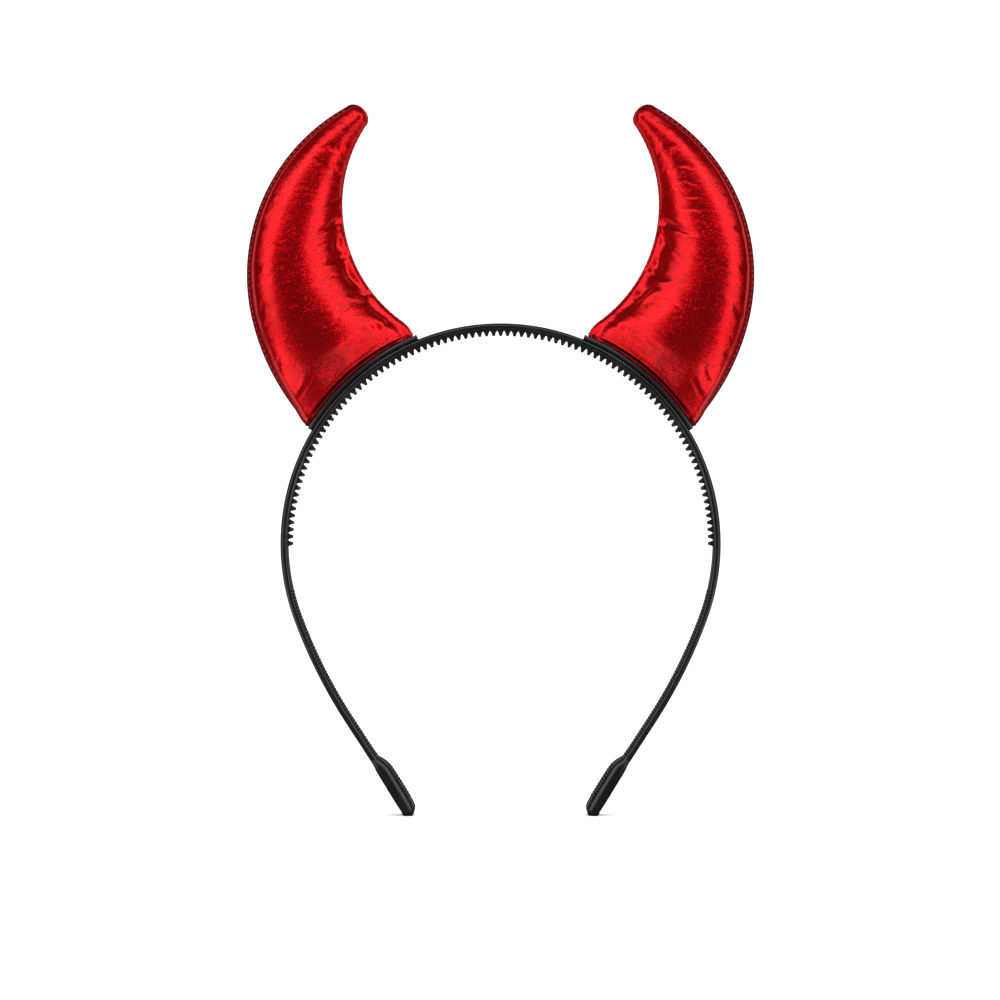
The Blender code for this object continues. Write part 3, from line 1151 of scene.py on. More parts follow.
@dataclass
class BaseStrip:
    """The thin tape bent over the band under one horn."""

    route: BandRoute
    side: Side
    seat_gap: float = -0.02 * MM
    thick: float = 1.38 * MM
    depth: float = 7.7 * MM
    edge: float = 0.9 * MM
    lower_edge: float = 0.25 * MM
    edge_steps: int = 7
    low: float = math.radians(30.9)
    high: float = math.radians(68.0)
    parts: int = 72
    lifted_from: float = math.radians(67.3)
    lift: float = 0.22 * MM

    def build(self, finish: WovenStrip) -> bpy.types.Object:
        """Make the tape.

        Args:
            finish: The tape's fabric.

        Returns:
            The piece.
        """
        bm = bmesh.new()
        place_layer = bm.verts.layers.float_vector.new("tape_place")
        rings = []
        for angle in np.linspace(self.low, self.high, self.parts + 1).tolist():
            raised = max(0.0, (angle - self.lifted_from) / (self.high - self.lifted_from))
            radius = self.route.arch_radius + self.seat_gap + self.lift * raised**2
            ring = []
            for distance, y in rounded_outline(
                self.thick, 0.0, self.depth, (self.edge, self.lower_edge), self.edge_steps
            ):
                place = polar(self.route.arch_centre, radius + distance, angle)
                vert = bm.verts.new((self.side.value * place.x, y, place.y))
                vert[place_layer] = (self.route.arch_radius * angle, y, distance)
                ring.append(vert)
            rings.append(ring)
        bridge_rings(bm, rings)
        bm.faces.new(rings[0])
        bm.faces.new(rings[-1])
        bmesh.ops.recalc_face_normals(bm, faces=bm.faces)
        piece = new_piece(f"base_tape_{self.side.label}", bm, SHARP_BEND)
        install(piece, finish.make(), [f"base_strip_{self.side.label}"])
        return piece


@dataclass(frozen=True)
class HornOutline:
    """A horn's outline on the right half: its convex and concave edges, its foot and its tip."""

    outer_centre: Vector = Vector((18.2 * MM, 158.8 * MM))
    outer_radius: float = 56.5 * MM
    outer_join: float = math.radians(-13.1)
    outer_to: float = math.radians(61.2)
    outer_low_radius: float = 68.9 * MM
    outer_from: float = math.radians(-37.8)
    inner_centre: Vector = Vector((4.3 * MM, 179.5 * MM))
    inner_radius: float = 42.2 * MM
    inner_from: float = math.radians(-54.7)
    inner_to: float = math.radians(33.0)
    tip_height: float = 3.2 * MM

    @property
    def outer_length(self) -> float:
        """Return the length of the convex edge."""
        low_run = self.outer_low_radius * (self.outer_join - self.outer_from)
        return low_run + self.outer_radius * (self.outer_to - self.outer_join)

    def outer_edge(self, share: float) -> Vector:
        """Return the point of the convex edge at a share of its length."""
        low_run = self.outer_low_radius * (self.outer_join - self.outer_from)
        run = share * self.outer_length
        if run < low_run:
            shift = self.outer_radius - self.outer_low_radius
            centre = polar(self.outer_centre, shift, self.outer_join)
            turn = self.outer_from + run / self.outer_low_radius
            return polar(centre, self.outer_low_radius, turn)
        turn = self.outer_join + (run - low_run) / self.outer_radius
        return polar(self.outer_centre, self.outer_radius, turn)

    def inner_edge(self, share: float) -> Vector:
        """Return the point of the concave edge at a share of its length."""
        turn = self.inner_from + share * (self.inner_to - self.inner_from)
        return polar(self.inner_centre, self.inner_radius, turn)


@dataclass(frozen=True)
class HornRow:
    """One row across a horn: its ends, how far its middle bulges, and its half depth.

    Its waist is the share by which it is deeper at its two corners, where no groove runs, and
    its groove is how much painted shade it takes for lying in the groove.
    """

    outer: Vector
    inner: Vector
    bulge: Vector
    half_depth: float
    share: float
    hold: float
    waist: float = 0.0
    groove: float = 0.0
    hem: bool = False

    def numbers(self) -> list[float]:
        """Return the row as a list of numbers."""
        ends = (*self.outer, *self.inner, *self.bulge)
        return [*ends, self.half_depth, self.share, self.hold, self.waist, self.groove]

    @classmethod
    def from_numbers(cls, row: np.ndarray, hem: bool) -> "HornRow":
        """Return the row that a list of numbers stands for, on the hem or above it."""
        ends = (Vector(row[0:2]), Vector(row[2:4]), Vector(row[4:6]))
        return cls(*ends, *row[6:].tolist(), hem)


@dataclass(frozen=True)
class Fold:
    """A crease in the foil, in mm, with X measured outwards from the headband's middle.

    Taper is 1 for a pucker that is deep at its start, on a seam, and runs out to nothing.
    """

    start: tuple[float, float]
    end: tuple[float, float]
    width: float
    dent: float
    ridge: float = 0.35
    wander: float = 0.35
    taper: float = 0.0

    # How quickly the line wanders, how far an even crease reaches from its middle, how far a
    # pucker starts before its line and how much it narrows, and how far aside the ridge lies
    WAVES = 5.0
    EVEN_REACH = 0.62
    LEAD = 0.4
    SPREAD = 0.5
    RIDGE_ASIDE = 1.7

    def press(self, flat: np.ndarray) -> np.ndarray:
        """Return how far the crease presses each point in, in mm.

        Args:
            flat: The points' X and Z in mm, with X measured outwards.

        Returns:
            A depth for each point, below zero on the ridge beside the crease.
        """
        start, end = np.array(self.start), np.array(self.end)
        line = end - start
        length = np.linalg.norm(line)
        offset = flat - start
        along = offset @ line / length**2
        aside = (offset[:, 0] * line[1] - offset[:, 1] * line[0]) / length
        aside += self.wander * np.sin(self.WAVES * along + start[0] + start[1])
        even = np.clip(1.0 - (np.abs(along - 0.5) / self.EVEN_REACH) ** 2, 0.0, 1.0)
        fan = np.clip(1.0 - along, 0.0, 1.0) * np.clip(1.0 + along / self.LEAD, 0.0, 1.0)
        fade = even + self.taper * (fan - even)
        width = self.width * (1.0 + self.taper * (self.SPREAD - np.clip(along, 0.0, 1.0)))
        dent = np.exp(-((aside / width) ** 2))
        ridge = self.ridge * np.exp(-(((aside - self.RIDGE_ASIDE * width) / width) ** 2))
        return fade * self.dent * (dent - ridge)


LEFT_FOLDS = (
    Fold((46.4, 174.6), (54.4, 170.6), 0.85, 1.15, 0.40, 0.25, 1.0),
    Fold((47.6, 170.2), (48.4, 165.4), 1.3, 0.45, 0.0, 0.2),
    Fold((44.6, 165.8), (51.8, 160.6), 0.85, 0.95, 0.45, 0.3, 1.0),
    Fold((45.8, 161.0), (41.8, 155.3), 1.1, 0.42, 0.0, 0.3),
    Fold((38.2, 153.8), (45.4, 152.2), 0.8, 0.90, 0.45, 0.3, 1.0),
    Fold((40.6, 152.4), (34.0, 146.0), 0.9, 0.30, 0.0, 0.3),
    Fold((46.8, 187.8), (50.2, 186.4), 0.5, 0.20, 0.3, 0.2, 1.0),
    Fold((46.0, 191.6), (48.4, 190.4), 0.5, 0.14, 0.3, 0.2, 1.0),
    Fold((46.4, 180.6), (52.2, 178.4), 0.7, 0.34, 0.3, 0.2, 1.0),
    Fold((49.8, 168.6), (54.6, 164.8), 0.5, 0.20, 0.5, 0.3),
    Fold((48.6, 158.6), (52.8, 155.6), 0.5, 0.20, 0.5, 0.3),
    Fold((44.6, 149.6), (48.6, 144.6), 0.6, 0.18, 0.5, 0.3),
    Fold((60.9, 138.6), (52.8, 154.0), 0.45, -0.08, 0.0, 0.1),
    Fold((52.0, 139.0), (54.5, 151.0), 4.5, 0.20, 0.0, 0.4),
    Fold((31.6, 140.6), (33.2, 146.4), 0.9, 0.50, 0.4, 0.3),
    Fold((34.4, 139.6), (37.6, 144.6), 1.0, 0.36, 0.4, 0.3),
    Fold((29.0, 140.2), (30.8, 144.0), 0.7, 0.38, 0.3, 0.2),
    Fold((58.6, 121.4), (55.4, 128.2), 0.9, 0.42, 0.5, 0.3),
    Fold((55.2, 121.8), (52.6, 126.8), 0.8, 0.34, 0.4, 0.3),
)

RIGHT_FOLDS = (
    Fold((46.2, 174.0), (58.6, 170.0), 0.85, 1.10, 0.40, 0.3, 1.0),
    Fold((47.8, 169.6), (49.2, 166.0), 1.3, 0.42, 0.0, 0.3),
    Fold((44.0, 159.4), (51.2, 156.8), 0.85, 0.85, 0.40, 0.4, 1.0),
    Fold((45.6, 163.4), (47.4, 159.8), 1.1, 0.36, 0.0, 0.3),
    Fold((40.6, 153.2), (47.0, 155.0), 0.8, 0.80, 0.40, 0.4, 1.0),
    Fold((41.8, 152.8), (36.6, 148.4), 0.9, 0.30, 0.0, 0.3),
    Fold((52.4, 186.0), (57.4, 185.2), 0.5, 0.15, 0.4, 0.3),
    Fold((52.6, 182.2), (58.2, 181.0), 0.5, 0.17, 0.4, 0.3),
    Fold((52.2, 178.2), (58.4, 177.2), 0.6, 0.20, 0.4, 0.3),
    Fold((51.6, 190.8), (55.2, 190.2), 0.5, 0.14, 0.4, 0.2),
    Fold((50.4, 164.8), (54.8, 162.2), 0.5, 0.18, 0.5, 0.3),
    Fold((48.0, 152.2), (52.4, 149.4), 0.5, 0.18, 0.5, 0.3),
    Fold((54.0, 143.0), (56.0, 152.0), 4.5, 0.14, 0.0, 0.4),
    Fold((31.4, 140.2), (33.4, 145.4), 0.8, 0.46, 0.4, 0.3),
    Fold((35.2, 139.2), (37.2, 143.6), 0.8, 0.34, 0.4, 0.3),
    Fold((58.4, 121.6), (56.2, 128.2), 0.9, 0.42, 0.5, 0.3),
    Fold((61.0, 126.4), (59.0, 131.6), 0.8, 0.28, 0.4, 0.3),
)


@dataclass
class PaddedHorn:
    """One stuffed horn of foil fabric: two panels sewn together, gathered in at the foot."""

    route: BandRoute
    outline: HornOutline
    side: Side
    folds: tuple[Fold, ...]
    fill: float = 0.85
    seat_gap: float = 0.2 * MM
    strip_thick: float = 1.0 * MM
    puff_base: float = 0.265
    puff_tip: float = 0.35
    puff_start: float = 0.78
    puff_rise: float = 0.06
    outer_margin: float = 1.35 * MM
    inner_margin: float = 0.45 * MM
    margin_half_thick: float = 0.36 * MM
    margin_at_foot: float = 0.5
    margin_full_from: float = 0.16
    body_rows: int = 104
    foot_steps: int = 4
    tip_rounds: int = 12
    tip_turn: float = math.radians(87.0)
    body_columns: int = 34
    cloth_scale: float = 10.0
    cloth_frames: int = 22
    cloth_cap: float = 1.6 * MM
    slack_outer: float = 0.002
    slack_inner: float = 0.32
    slack_from: float = 0.15
    hem_dark: float = 0.35
    bulge_power: int = 3
    foot_hold: float = 0.05
    tip_hold_from: float = 0.93
    tip_hold_reach: float = 0.07
    outer_margin_limit: float = 0.2
    inner_margin_limit: float = 0.12
    column_mix: tuple = (0.7, 0.3)
    panel_apart: float = 0.1

    HEM_ROWS = 2
    GROOVE_WAIST = 0.5
    # What foot_row takes: lift, depth, low, high and waist
    FOOT_ROWS = (
        (0.0, 8.4, 31.4, 67.0, 0.0),
        (0.7, 8.6, 31.1, 67.3, 0.0),
        (0.85, 5.6, 31.1, 67.3, 0.7),
        (1.15, 5.6, 31.1, 67.3, 0.85),
        (1.2, 12.0, 31.2, 67.3, 0.1),
        (1.35, 13.4, 31.3, 67.2, 0.0),
        (2.6, 14.2, 31.6, 67.1, 0.0),
    )
    HEM_REACH = (0.70, 0.86)
    PROFILE_SAMPLES = 801
    # Places across, from -1 outside to 1 inside, and how steeply the padding rises there
    PROFILE = (
        (-1.0, 6.5),
        (-0.955, 4.6),
        (-0.925, 1.3),
        (-0.89, 0.54),
        (-0.86, 0.42),
        (-0.70, 0.30),
        (-0.52, 0.16),
        (-0.42, 0.05),
        (-0.14, 0.0),
        (0.0, -0.25),
        (0.08, -0.62),
        (0.22, -0.76),
        (0.44, -0.90),
        (0.58, -1.10),
        (0.67, -1.65),
        (0.73, -2.4),
        (0.81, -2.4),
        (0.85, -0.85),
        (0.965, -0.85),
        (0.985, -2.0),
        (1.0, -4.0),
    )
    FOOT_PROFILE = PROFILE[:9] + (
        (0.0, -0.10),
        (0.16, -0.45),
        (0.30, -0.62),
        (0.60, -0.78),
        (0.79, -0.95),
        (0.83, -2.2),
        (0.875, -2.2),
        (0.905, -0.85),
        (0.97, -0.85),
        (0.985, -2.0),
        (1.0, -4.0),
    )
    FOOT_PROFILE_REACH = (0.05, 0.30)
    TIP_PROFILE = (
        (-1.0, 5.2),
        (-0.955, 3.0),
        (-0.91, 0.70),
        (-0.60, 0.40),
        (-0.18, 0.30),
        (0.04, 0.12),
        (0.12, 0.0),
        (0.18, -0.05),
        (0.32, -0.30),
        (0.50, -0.45),
        (0.62, -0.80),
        (0.90, -1.2),
        (0.96, -2.4),
        (1.0, -5.0),
    )
    TIP_PROFILE_REACH = (0.45, 0.82)
    # The least movement in m that a point is taken to have made, and how quickly the folds
    # deepen away from the seams
    STILL = 1e-9
    FOLD_ONSET = 1.6
    # Places from -1 outside to 1 inside, and how quickly the panel comes loose from its seams
    EASE_PLACES = (-0.6, 0.1)
    EASE = (1.2, 3.2)
    CLOTH = {
        "quality": 6,
        "mass": 0.15,
        "air_damping": 2.0,
        "tension_stiffness": 30.0,
        "compression_stiffness": 10.0,
        "shear_stiffness": 10.0,
        "bending_stiffness": 0.03,
        "use_pressure": True,
        "uniform_pressure_force": 4.0,
    }
    OUTER_MARGIN_SHARES = (0.0, 0.10, 0.34, 0.72)
    OUTER_MARGIN_RISE = (0.0, 0.75, 1.0, 0.95)
    INNER_MARGIN_SHARES = (0.62, 0.90, 1.0)
    INNER_MARGIN_RISE = (0.95, 0.75, 0.0)

    def foot_row(
        self, lift: float, depth: float, low: float, high: float, waist: float
    ) -> HornRow:
        """Return a row that follows the strip.

        Args:
            lift: Height above the strip in mm.
            depth: Whole depth in mm.
            low: Angle of its outer end in degrees.
            high: Angle of its inner end in degrees.
            waist: Share by which it is deeper at its corners.

        Returns:
            The row.
        """
        radius = self.route.arch_radius + 2 * self.seat_gap + self.strip_thick + lift * MM
        ends = [polar(self.route.arch_centre, radius, math.radians(turn)) for turn in (low, high)]
        middle = polar(self.route.arch_centre, radius, math.radians((low + high) / 2))
        bulge = middle - (ends[0] + ends[1]) / 2
        # Rows in the groove get painted shade
        groove = 1.0 if waist > self.GROOVE_WAIST else 0.0
        return HornRow(*ends, bulge, depth / 2 * MM, 0.0, 1.0, waist, groove)

    def body_row(self, share: float, first_bulge: Vector) -> HornRow:
        """Return a row of the stuffed body at a share of the horn's length."""
        outer = self.outline.outer_edge(share)
        inner = self.outline.inner_edge(share)
        puff = self.puff_base + share * (self.puff_tip - self.puff_base)
        rise = 1.0 - (1.0 - self.puff_start) * math.exp(-share / self.puff_rise)
        half_depth = puff * rise * (outer - inner).length
        bulge = first_bulge * (1.0 - share) ** self.bulge_power
        tip_hold = (share - self.tip_hold_from) / self.tip_hold_reach
        hold = max(0.0, 1.0 - share / self.foot_hold, tip_hold)
        return HornRow(outer, inner, bulge, half_depth, share, hold)

    def tip_rows(self, last: HornRow) -> list[HornRow]:
        """Return the rows that round off the tip beyond the last body row."""
        middle = (last.outer + last.inner) / 2
        reach = (last.outer - last.inner) / 2
        ahead = Vector((-reach.y, reach.x)).normalized() * self.outline.tip_height
        rows = []
        for k in range(1, self.tip_rounds + 1):
            turn = self.tip_turn * k / self.tip_rounds
            centre = middle + math.sin(turn) * ahead
            half = math.cos(turn) * reach
            depth = math.cos(turn) * last.half_depth
            rows.append(HornRow(centre + half, centre - half, last.bulge, depth, 1.0, 1.0))
        return rows

    def rows(self) -> list[HornRow]:
        """Return all rows from the foot to the rounded tip."""
        keys = [self.foot_row(*row) for row in self.FOOT_ROWS]
        bulge = keys[-1].bulge
        body = [self.body_row(k / self.body_rows, bulge) for k in range(self.body_rows + 1)]
        keys += body[:3]
        numbers = np.array([key.numbers() for key in keys])
        places = [0.0]
        for last, key in zip(keys, keys[1:]):
            step = math.hypot((key.outer - last.outer).length, key.half_depth - last.half_depth)
            places.append(places[-1] + step)
        count = len(self.FOOT_ROWS)
        foot = []
        for start, end in zip(places[:count], places[1 : count + 1]):
            for k in range(self.foot_steps):
                place = start + (end - start) * k / self.foot_steps
                row = smooth_read(place, places, numbers)
                foot.append(HornRow.from_numbers(row, place < places[self.HEM_ROWS]))
        return foot + body + self.tip_rows(body[-1])

    @classmethod
    def profile(cls, table: Sequence[tuple], places: np.ndarray) -> np.ndarray:
        """Return the padding's depth, from 0 to 1, across a horn.

        Args:
            table: Pairs of a place from -1 outside to 1 inside and the steepness there.
            places: Where it is read.

        Returns:
            The depth at each place.
        """
        table = np.array(table)
        fine = np.linspace(-1.0, 1.0, cls.PROFILE_SAMPLES)
        slopes = np.interp(fine, table[:, 0], table[:, 1])
        rising = np.cumsum(np.maximum(slopes, 0.0))
        falling = np.cumsum(np.maximum(-slopes, 0.0)[::-1])[::-1]
        return np.interp(places, fine, np.minimum(rising / rising[-1], falling / falling[0]))

    def columns(self, row: HornRow) -> tuple[np.ndarray, np.ndarray, np.ndarray]:
        """Return where a row's points lie.

        Args:
            row: The row.

        Returns:
            Places from -1 outside to 1 inside, the share of the padding's depth at each, and
            the share of the margin's thickness at each.
        """
        length = (row.outer - row.inner).length
        widening = min(1.0, row.share / self.margin_full_from)
        width = self.outer_margin * (self.margin_at_foot + (1 - self.margin_at_foot) * widening)
        outer = 2 * min(width, self.outer_margin_limit * length) / length
        inner = 2 * min(self.inner_margin, self.inner_margin_limit * length) / length
        swing = -np.cos(np.linspace(0.0, math.pi, self.body_columns + 1))
        even = np.linspace(-1.0, 1.0, self.body_columns + 1)
        evened = self.column_mix[0] * swing + self.column_mix[1] * even
        start = -1.0 + outer
        body = start + (2.0 - outer - inner) * (evened + 1.0) / 2
        toward_tip = float(np.interp(row.share, self.TIP_PROFILE_REACH, (0.0, 1.0)))
        toward_foot = float(np.interp(row.share, self.FOOT_PROFILE_REACH, (1.0, 0.0)))
        padding = (1.0 - toward_tip - toward_foot) * self.profile(self.PROFILE, evened)
        padding += toward_foot * self.profile(self.FOOT_PROFILE, evened)
        padding += toward_tip * self.profile(self.TIP_PROFILE, evened)
        first = -1.0 + outer * np.array(self.OUTER_MARGIN_SHARES)
        last = 1.0 - inner + inner * np.array(self.INNER_MARGIN_SHARES)
        spots = np.concatenate([first, body, last])
        before, after = np.zeros(len(first)), np.zeros(len(last))
        swell = np.concatenate([before, padding, after])
        rise = [self.OUTER_MARGIN_RISE, np.ones(len(body)), self.INNER_MARGIN_RISE]
        return spots, swell, np.concatenate(rise)

    def make_shell(self) -> bpy.types.Object:
        """Make the closed shell as it was sewn, with each point's place on the fabric."""
        bm = bmesh.new()
        fabric = bm.verts.layers.float_vector.new("fabric_place")
        trait = bm.verts.layers.float_vector.new("trait")
        seam = bm.verts.layers.float.new("seam")
        groove = bm.verts.layers.float.new("groove")
        rings = []
        run = 0.0
        last = None
        for row in self.rows():
            length = (row.outer - row.inner).length
            spots, swell, rise = self.columns(row)
            middle = (row.outer + row.inner) / 2
            reach = (row.inner - row.outer) / 2
            run += (middle - last).length if last else 0.0
            last = middle
            thin = min(self.margin_half_thick, row.half_depth)
            corner = np.interp(np.abs(spots), self.HEM_REACH, (0.0, 1.0))
            depths = thin * rise + (row.half_depth * (1.0 + row.waist * corner) - thin) * swell
            count = len(spots)
            order = [(i, -1) for i in range(count)] + [(i, 1) for i in range(count - 2, 0, -1)]
            ring = []
            for i, facing in order:
                across = float(spots[i])
                place = middle + across * reach + (1.0 - across**2) * row.bulge
                vert = bm.verts.new((self.side.value * place.x, facing * depths[i], place.y))
                vert[fabric] = (run, spots[i] * length / 2, facing * self.panel_apart)
                ease = float(np.interp(spots[i], self.EASE_PLACES, self.EASE))
                loose = min(1.0, ease * swell[i]) * (1.0 - row.hold)
                vert[trait] = (row.share, spots[i], max(0.0, loose))
                middling = 1.0 - float(corner[i])
                vert[seam] = 1.0 if swell[i] == 0.0 else self.hem_dark * middling * row.hem
                # Painted shade in the groove under the belly, fading out at the corners
                vert[groove] = row.groove * middling
                ring.append(vert)
            rings.append(ring)
        bridge_rings(bm, rings)
        for ring in (rings[0], rings[-1]):
            half = len(ring) // 2
            for i in range(half):
                j = len(ring) - i
                corners = [ring[i], ring[i + 1], ring[(j - 1) % len(ring)], ring[j % len(ring)]]
                bm.faces.new(list(dict.fromkeys(corners)))
        bmesh.ops.recalc_face_normals(bm, faces=bm.faces)
        return new_piece(f"padded_horn_{self.side.label}", bm)

    def inflate(self, piece: bpy.types.Object) -> None:
        """Fill the shell with a cloth simulation, seams and foot held, and keep its puckers.

        Args:
            piece: The shell; its points move and it keeps no modifier.
        """
        before = vertex_places(piece.data)
        traits = read_vectors(piece.data, "trait")
        self.add_groups(piece, traits)
        piece.data.vertices.foreach_set("co", (before * self.cloth_scale).ravel())
        modifier = piece.modifiers.new("stuffing", "CLOTH")
        settings = modifier.settings
        for name, value in self.CLOTH.items():
            setattr(settings, name, value)
        settings.vertex_group_mass = "held"
        settings.vertex_group_shrink = "slack"
        settings.shrink_min = -self.slack_outer
        settings.shrink_max = -self.slack_inner
        settings.effector_weights.gravity = 0.0
        modifier.collision_settings.use_collision = False
        scene = bpy.context.scene
        modifier.point_cache.frame_start = 1
        modifier.point_cache.frame_end = self.cloth_frames
        for moment in range(1, self.cloth_frames + 1):
            scene.frame_set(moment)
        graph = bpy.context.evaluated_depsgraph_get()
        after = vertex_places(piece.evaluated_get(graph).data) / self.cloth_scale
        piece.modifiers.clear()
        scene.frame_set(1)
        moved = after - before
        reach = np.linalg.norm(moved, axis=1, keepdims=True)
        log.info("%s: points moved up to %.2f mm", piece.name, reach.max() / MM)
        capped = moved * np.minimum(1.0, self.cloth_cap / np.maximum(reach, self.STILL))
        piece.data.vertices.foreach_set("co", (before + capped).ravel())
        piece.data.update()

    def add_groups(self, piece: bpy.types.Object, traits: np.ndarray) -> None:
        """Add the groups that hold the seams and give slack to the concave side.

        Args:
            piece: The shell.
            traits: Share of the length, place across and looseness of each point.
        """
        held = piece.vertex_groups.new(name="held")
        slack = piece.vertex_groups.new(name="slack")
        for index, (_, across, loose) in enumerate(traits):
            spare = np.interp(across, (self.slack_from, 1.0), (0.0, 1.0))
            held.add([index], float(1.0 - loose), "REPLACE")
            slack.add([index], float(spare), "REPLACE")

    def sculpt(self, piece: bpy.types.Object) -> None:
        """Press the horn's own creases into its mesh.

        Args:
            piece: The subdivided horn.
        """
        mesh = piece.data
        places = vertex_places(mesh)
        traits = read_vectors(mesh, "trait")
        normals = np.empty(len(mesh.vertices) * 3)
        mesh.vertex_normals.foreach_get("vector", normals)
        normals = normals.reshape(-1, 3)
        flat = places[:, [0, 2]] / MM
        flat[:, 0] *= self.side.value
        push = np.zeros(len(flat))
        for fold in self.folds:
            push += fold.press(flat)
        soft = np.clip(traits[:, 2] * self.FOLD_ONSET, 0.0, 1.0)
        places -= normals * (push * soft * MM)[:, None]
        mesh.vertices.foreach_set("co", places.ravel())
        mesh.update()

    def build(self, finish: RedFoil) -> bpy.types.Object:
        """Make the horn: shell, stuffing, one subdivision and creases.

        Args:
            finish: The foil fabric.

        Returns:
            The piece.
        """
        piece = self.make_shell()
        self.inflate(piece)
        smoother = piece.modifiers.new("smoother", "SUBSURF")
        smoother.levels = 1
        smoother.render_levels = 1
        bake_modifiers(piece)
        self.sculpt(piece)
        piece.vertex_groups.clear()
        install(piece, finish.make(), [f"horn_{self.side.label}"])
        return piece


def read_vectors(mesh: bpy.types.Mesh, name: str) -> np.ndarray:
    """Return a mesh's vector attribute as rows of three numbers."""
    found = np.empty(len(mesh.vertices) * 3)
    mesh.attributes[name].data.foreach_get("vector", found)
    return found.reshape(-1, 3)


@dataclass
class Stitching:
    """The visible stitches along a horn's two seams, front and back."""

    horn: PaddedHorn
    pitch: float = 1.7 * MM
    length: float = 1.15 * MM
    radius: float = 0.15 * MM
    inset: float = 0.72 * MM
    inner_inset: float = 0.24 * MM
    stand: float = 0.34 * MM
    first: float = 0.02
    last: float = 0.985
    slant: float = 0.12
    seed: int = 7
    path_points: int = 160

    def tree(self) -> bpy.types.NodeTree:
        """Return the geometry tree that lays stitches along the edges it is given."""
        first = {"Geometry": "Geometry", "Seed": "Int"}
        graph, given = start_tree("seam_stitches", first, ("Pitch", "Length", "Radius", "Slant"))
        line = graph.node("GeometryNodeMeshToCurve", None, {"Mesh": given})
        spots = graph.node(
            "GeometryNodeCurveToPoints",
            {"mode": "LENGTH"},
            {"Curve": line, "Length": given.sibling("Pitch")},
        )
        ball = graph.node(
            "GeometryNodeMeshUVSphere", None, {"Segments": 6, "Rings": 5, "Radius": 1.0}
        )
        half = given.sibling("Length") * 0.5
        soft = graph.node("GeometryNodeSetShadeSmooth", None, {"Geometry": ball})
        scale = graph.vector(given.sibling("Radius"), given.sibling("Radius"), half)
        slant = graph.node(
            "FunctionNodeRandomValue",
            {"data_type": "FLOAT_VECTOR"},
            {0: (-1.0, -1.0, -1.0), 1: (1.0, 1.0, 1.0), "Seed": given.sibling("Seed")},
        )
        lean = slant * given.sibling("Slant")
        aimed = graph.node(
            "FunctionNodeAlignRotationToVector",
            {"axis": "Z"},
            {"Vector": spots.sibling("Tangent") + lean},
        )
        inputs = {"Points": spots, "Instance": soft, "Rotation": aimed, "Scale": scale}
        return end_tree(graph, given, inputs)

    def path(self, bm: bmesh.types.BMesh, outer_seam: bool, facing: int) -> None:
        """Add the line of one row of stitches.

        Args:
            bm: The mesh of edges.
            outer_seam: True on the convex edge, False on the concave one.
            facing: -1 on the front and 1 on the back.
        """
        outline = self.horn.outline
        last = None
        for share in np.linspace(self.first, self.last, self.path_points).tolist():
            outer, inner = outline.outer_edge(share), outline.inner_edge(share)
            across = (inner - outer).normalized()
            if outer_seam:
                place = outer + across * self.inset
            else:
                place = inner - across * self.inner_inset
            spot = (self.horn.side.value * place.x, facing * self.stand, place.y)
            vert = bm.verts.new(spot)
            if last:
                bm.edges.new((last, vert))
            last = vert

    def build(self, finish: StitchThread) -> bpy.types.Object:
        """Make all stitches of one horn.

        Args:
            finish: The thread.

        Returns:
            The piece.
        """
        bm = bmesh.new()
        for outer_seam in (True, False):
            for facing in (-1, 1):
                self.path(bm, outer_seam, facing)
        material = finish.make()
        sizes = {
            "Pitch": self.pitch,
            "Length": self.length,
            "Radius": self.radius,
            "Slant": self.slant,
            "Seed": self.seed,
        }
        name = f"horn_stitches_{self.horn.side.label}"
        piece = grow(name, self.tree(), sizes, material, bm)
        install(piece, material)
        return piece


FLOOR_CARD_HEIGHT = 4.0 * MM


@dataclass(frozen=True)
class Softbox:
    """One large soft light that faces the horns."""

    name: str
    azimuth: float
    elevation: float
    radiance: float
    distance: float
    width: float
    height: float
    aim_height: float = 0.16
    lies_flat: bool = False

    def build(self) -> None:
        """Hang the light: azimuth 0 is in front and 90 on the right, elevation is upwards."""
        light = bpy.data.lights.new(self.name, "AREA")
        light.shape = "RECTANGLE"
        light.size = self.width
        light.size_y = self.height
        light.energy = self.radiance * math.pi * self.width * self.height
        turn = math.radians(self.azimuth)
        rise = math.radians(self.elevation)
        level = math.cos(rise)
        away = Vector((math.sin(turn) * level, -math.cos(turn) * level, math.sin(rise)))
        lamp = bpy.data.objects.new(self.name, light)
        lamp.location = away * self.distance + Vector((0.0, 0.0, self.aim_height))
        if self.lies_flat:
            lamp.location.z = FLOOR_CARD_HEIGHT
            lamp.rotation_euler = (math.pi, 0.0, turn)
        else:
            lamp.rotation_euler = away.to_track_quat("Z", "Y").to_euler()
        lamp.visible_camera = False
        bpy.context.scene.collection.objects.link(lamp)


# The lights of one set, with azimuths from the middle of the set
TALL_BOX = Softbox(
    name="tall",
    azimuth=50.0,
    elevation=16.0,
    radiance=1.35,
    distance=1.0,
    width=0.55,
    height=0.95,
)
LOW_BOX = Softbox(
    name="low",
    azimuth=51.0,
    elevation=0.0,
    radiance=1.3,
    distance=0.40,
    width=0.33,
    height=0.44,
    lies_flat=True,
)
ABOVE_BOX = Softbox(
    name="above",
    azimuth=0.0,
    elevation=48.0,
    radiance=1.35,
    distance=1.0,
    width=1.4,
    height=0.50,
)

# Name, azimuth and strength of the set of lights in front and of the one behind
LIGHT_SETS = (("front", 0.0, 1.0), ("back", 180.0, 0.5))


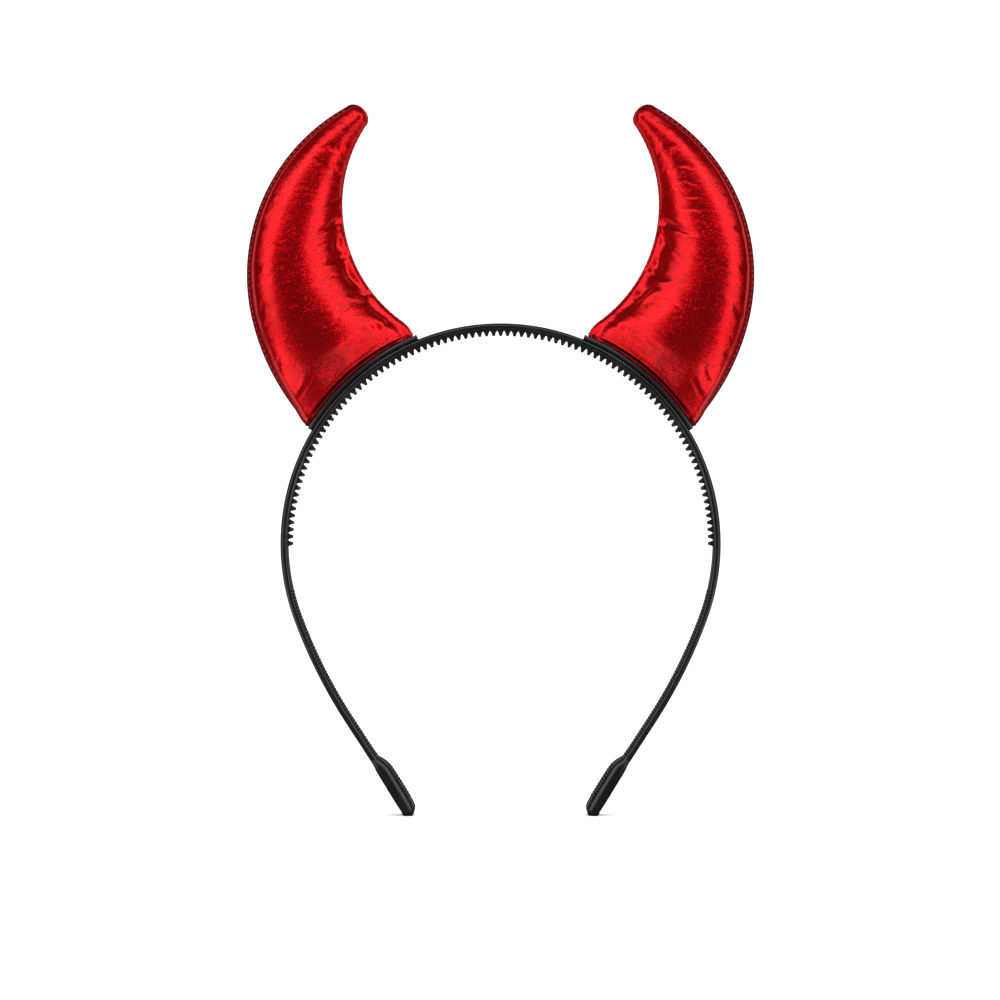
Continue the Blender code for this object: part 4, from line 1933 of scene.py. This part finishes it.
def ring_of_softboxes() -> list[Softbox]:
    """Return the lights: a tall one and a low one on each side, and one above, in each set."""
    lights = []
    for facing, centre, strength in LIGHT_SETS:
        placed = [
            (box, f"{box.name}_{facing}_{side.label}", side.value)
            for side in Side
            for box in (TALL_BOX, LOW_BOX)
        ]
        placed.append((ABOVE_BOX, f"{ABOVE_BOX.name}_{facing}", 1))
        for box, name, sign in placed:
            azimuth = centre + sign * box.azimuth
            radiance = box.radiance * strength
            lights.append(replace(box, name=name, azimuth=azimuth, radiance=radiance))
    return lights


@dataclass
class Studio:
    """Camera, white surroundings, floor and soft lights."""

    pixels: float = 1000.0
    pixels_per_metre: float = 3400.0
    axis_pixel: float = 500.6
    floor_pixel: float = 815.0
    distance: float = 1.15
    sensor: float = 36.0
    floor_size: float = 12.0
    surroundings: float = 1.30
    reflected: float = 0.09
    nearest: float = 0.01
    farthest: float = 100.0
    floor_parts: int = 8

    def make_camera(self) -> None:
        """Place the camera level with the middle of the picture, looking along +Y."""
        middle = self.pixels / 2
        camera = bpy.data.cameras.new("camera")
        camera.sensor_width = self.sensor
        camera.lens = self.sensor * self.distance * self.pixels_per_metre / self.pixels
        camera.clip_start = self.nearest
        camera.clip_end = self.farthest
        holder = bpy.data.objects.new("camera", camera)
        across = (middle - self.axis_pixel) / self.pixels_per_metre
        up = (self.floor_pixel - middle) / self.pixels_per_metre
        holder.location = (across, -self.distance, up)
        holder.rotation_euler = (math.pi / 2, 0.0, 0.0)
        bpy.context.scene.collection.objects.link(holder)
        bpy.context.scene.camera = holder

    def make_surroundings(self) -> None:
        """Make the world: white all round, and dim where glossy surfaces look for lights."""
        world = bpy.data.worlds.new("studio")
        world.use_nodes = True
        bpy.context.scene.world = world
        world.cycles.sampling_method = "NONE"
        graph = Graph(world.node_tree)
        graph.tree.nodes.clear()
        path = graph.node("ShaderNodeLightPath", None, None, "Is Glossy Ray")
        strength = self.surroundings + path * (self.reflected - self.surroundings)
        inputs = {"Color": (1.0, 1.0, 1.0), "Strength": strength}
        light = graph.node("ShaderNodeBackground", None, inputs)
        graph.node("ShaderNodeOutputWorld", None, {"Surface": light})
        bpy.context.scene.view_settings.view_transform = "Standard"

    def make_floor(self, finish: PaleFloor) -> None:
        """Make the floor that the tips stand on."""
        bm = bmesh.new()
        parts = {"x_segments": self.floor_parts, "y_segments": self.floor_parts}
        bmesh.ops.create_grid(bm, **parts, size=self.floor_size / 2)
        floor = new_piece("studio_floor", bm)
        floor.data.materials.append(finish.make())

    def build(self) -> None:
        """Build the whole studio."""
        self.make_camera()
        self.make_surroundings()
        self.make_floor(PaleFloor())
        for softbox in ring_of_softboxes():
            softbox.build()


def main() -> None:
    """Build the studio and every piece of the headband."""
    logging.basicConfig(level=logging.INFO, format="%(name)s: %(message)s")
    Studio().build()
    route = BandRoute()
    CombBand(route).build(GlossPlastic())
    for side, folds in ((Side.LEFT, LEFT_FOLDS), (Side.RIGHT, RIGHT_FOLDS)):
        BaseStrip(route, side).build(WovenStrip())
        horn = PaddedHorn(route, HornOutline(), side, folds)
        horn.build(RedFoil())
        Stitching(horn).build(StitchThread())


if __name__ == "__main__":
    main()
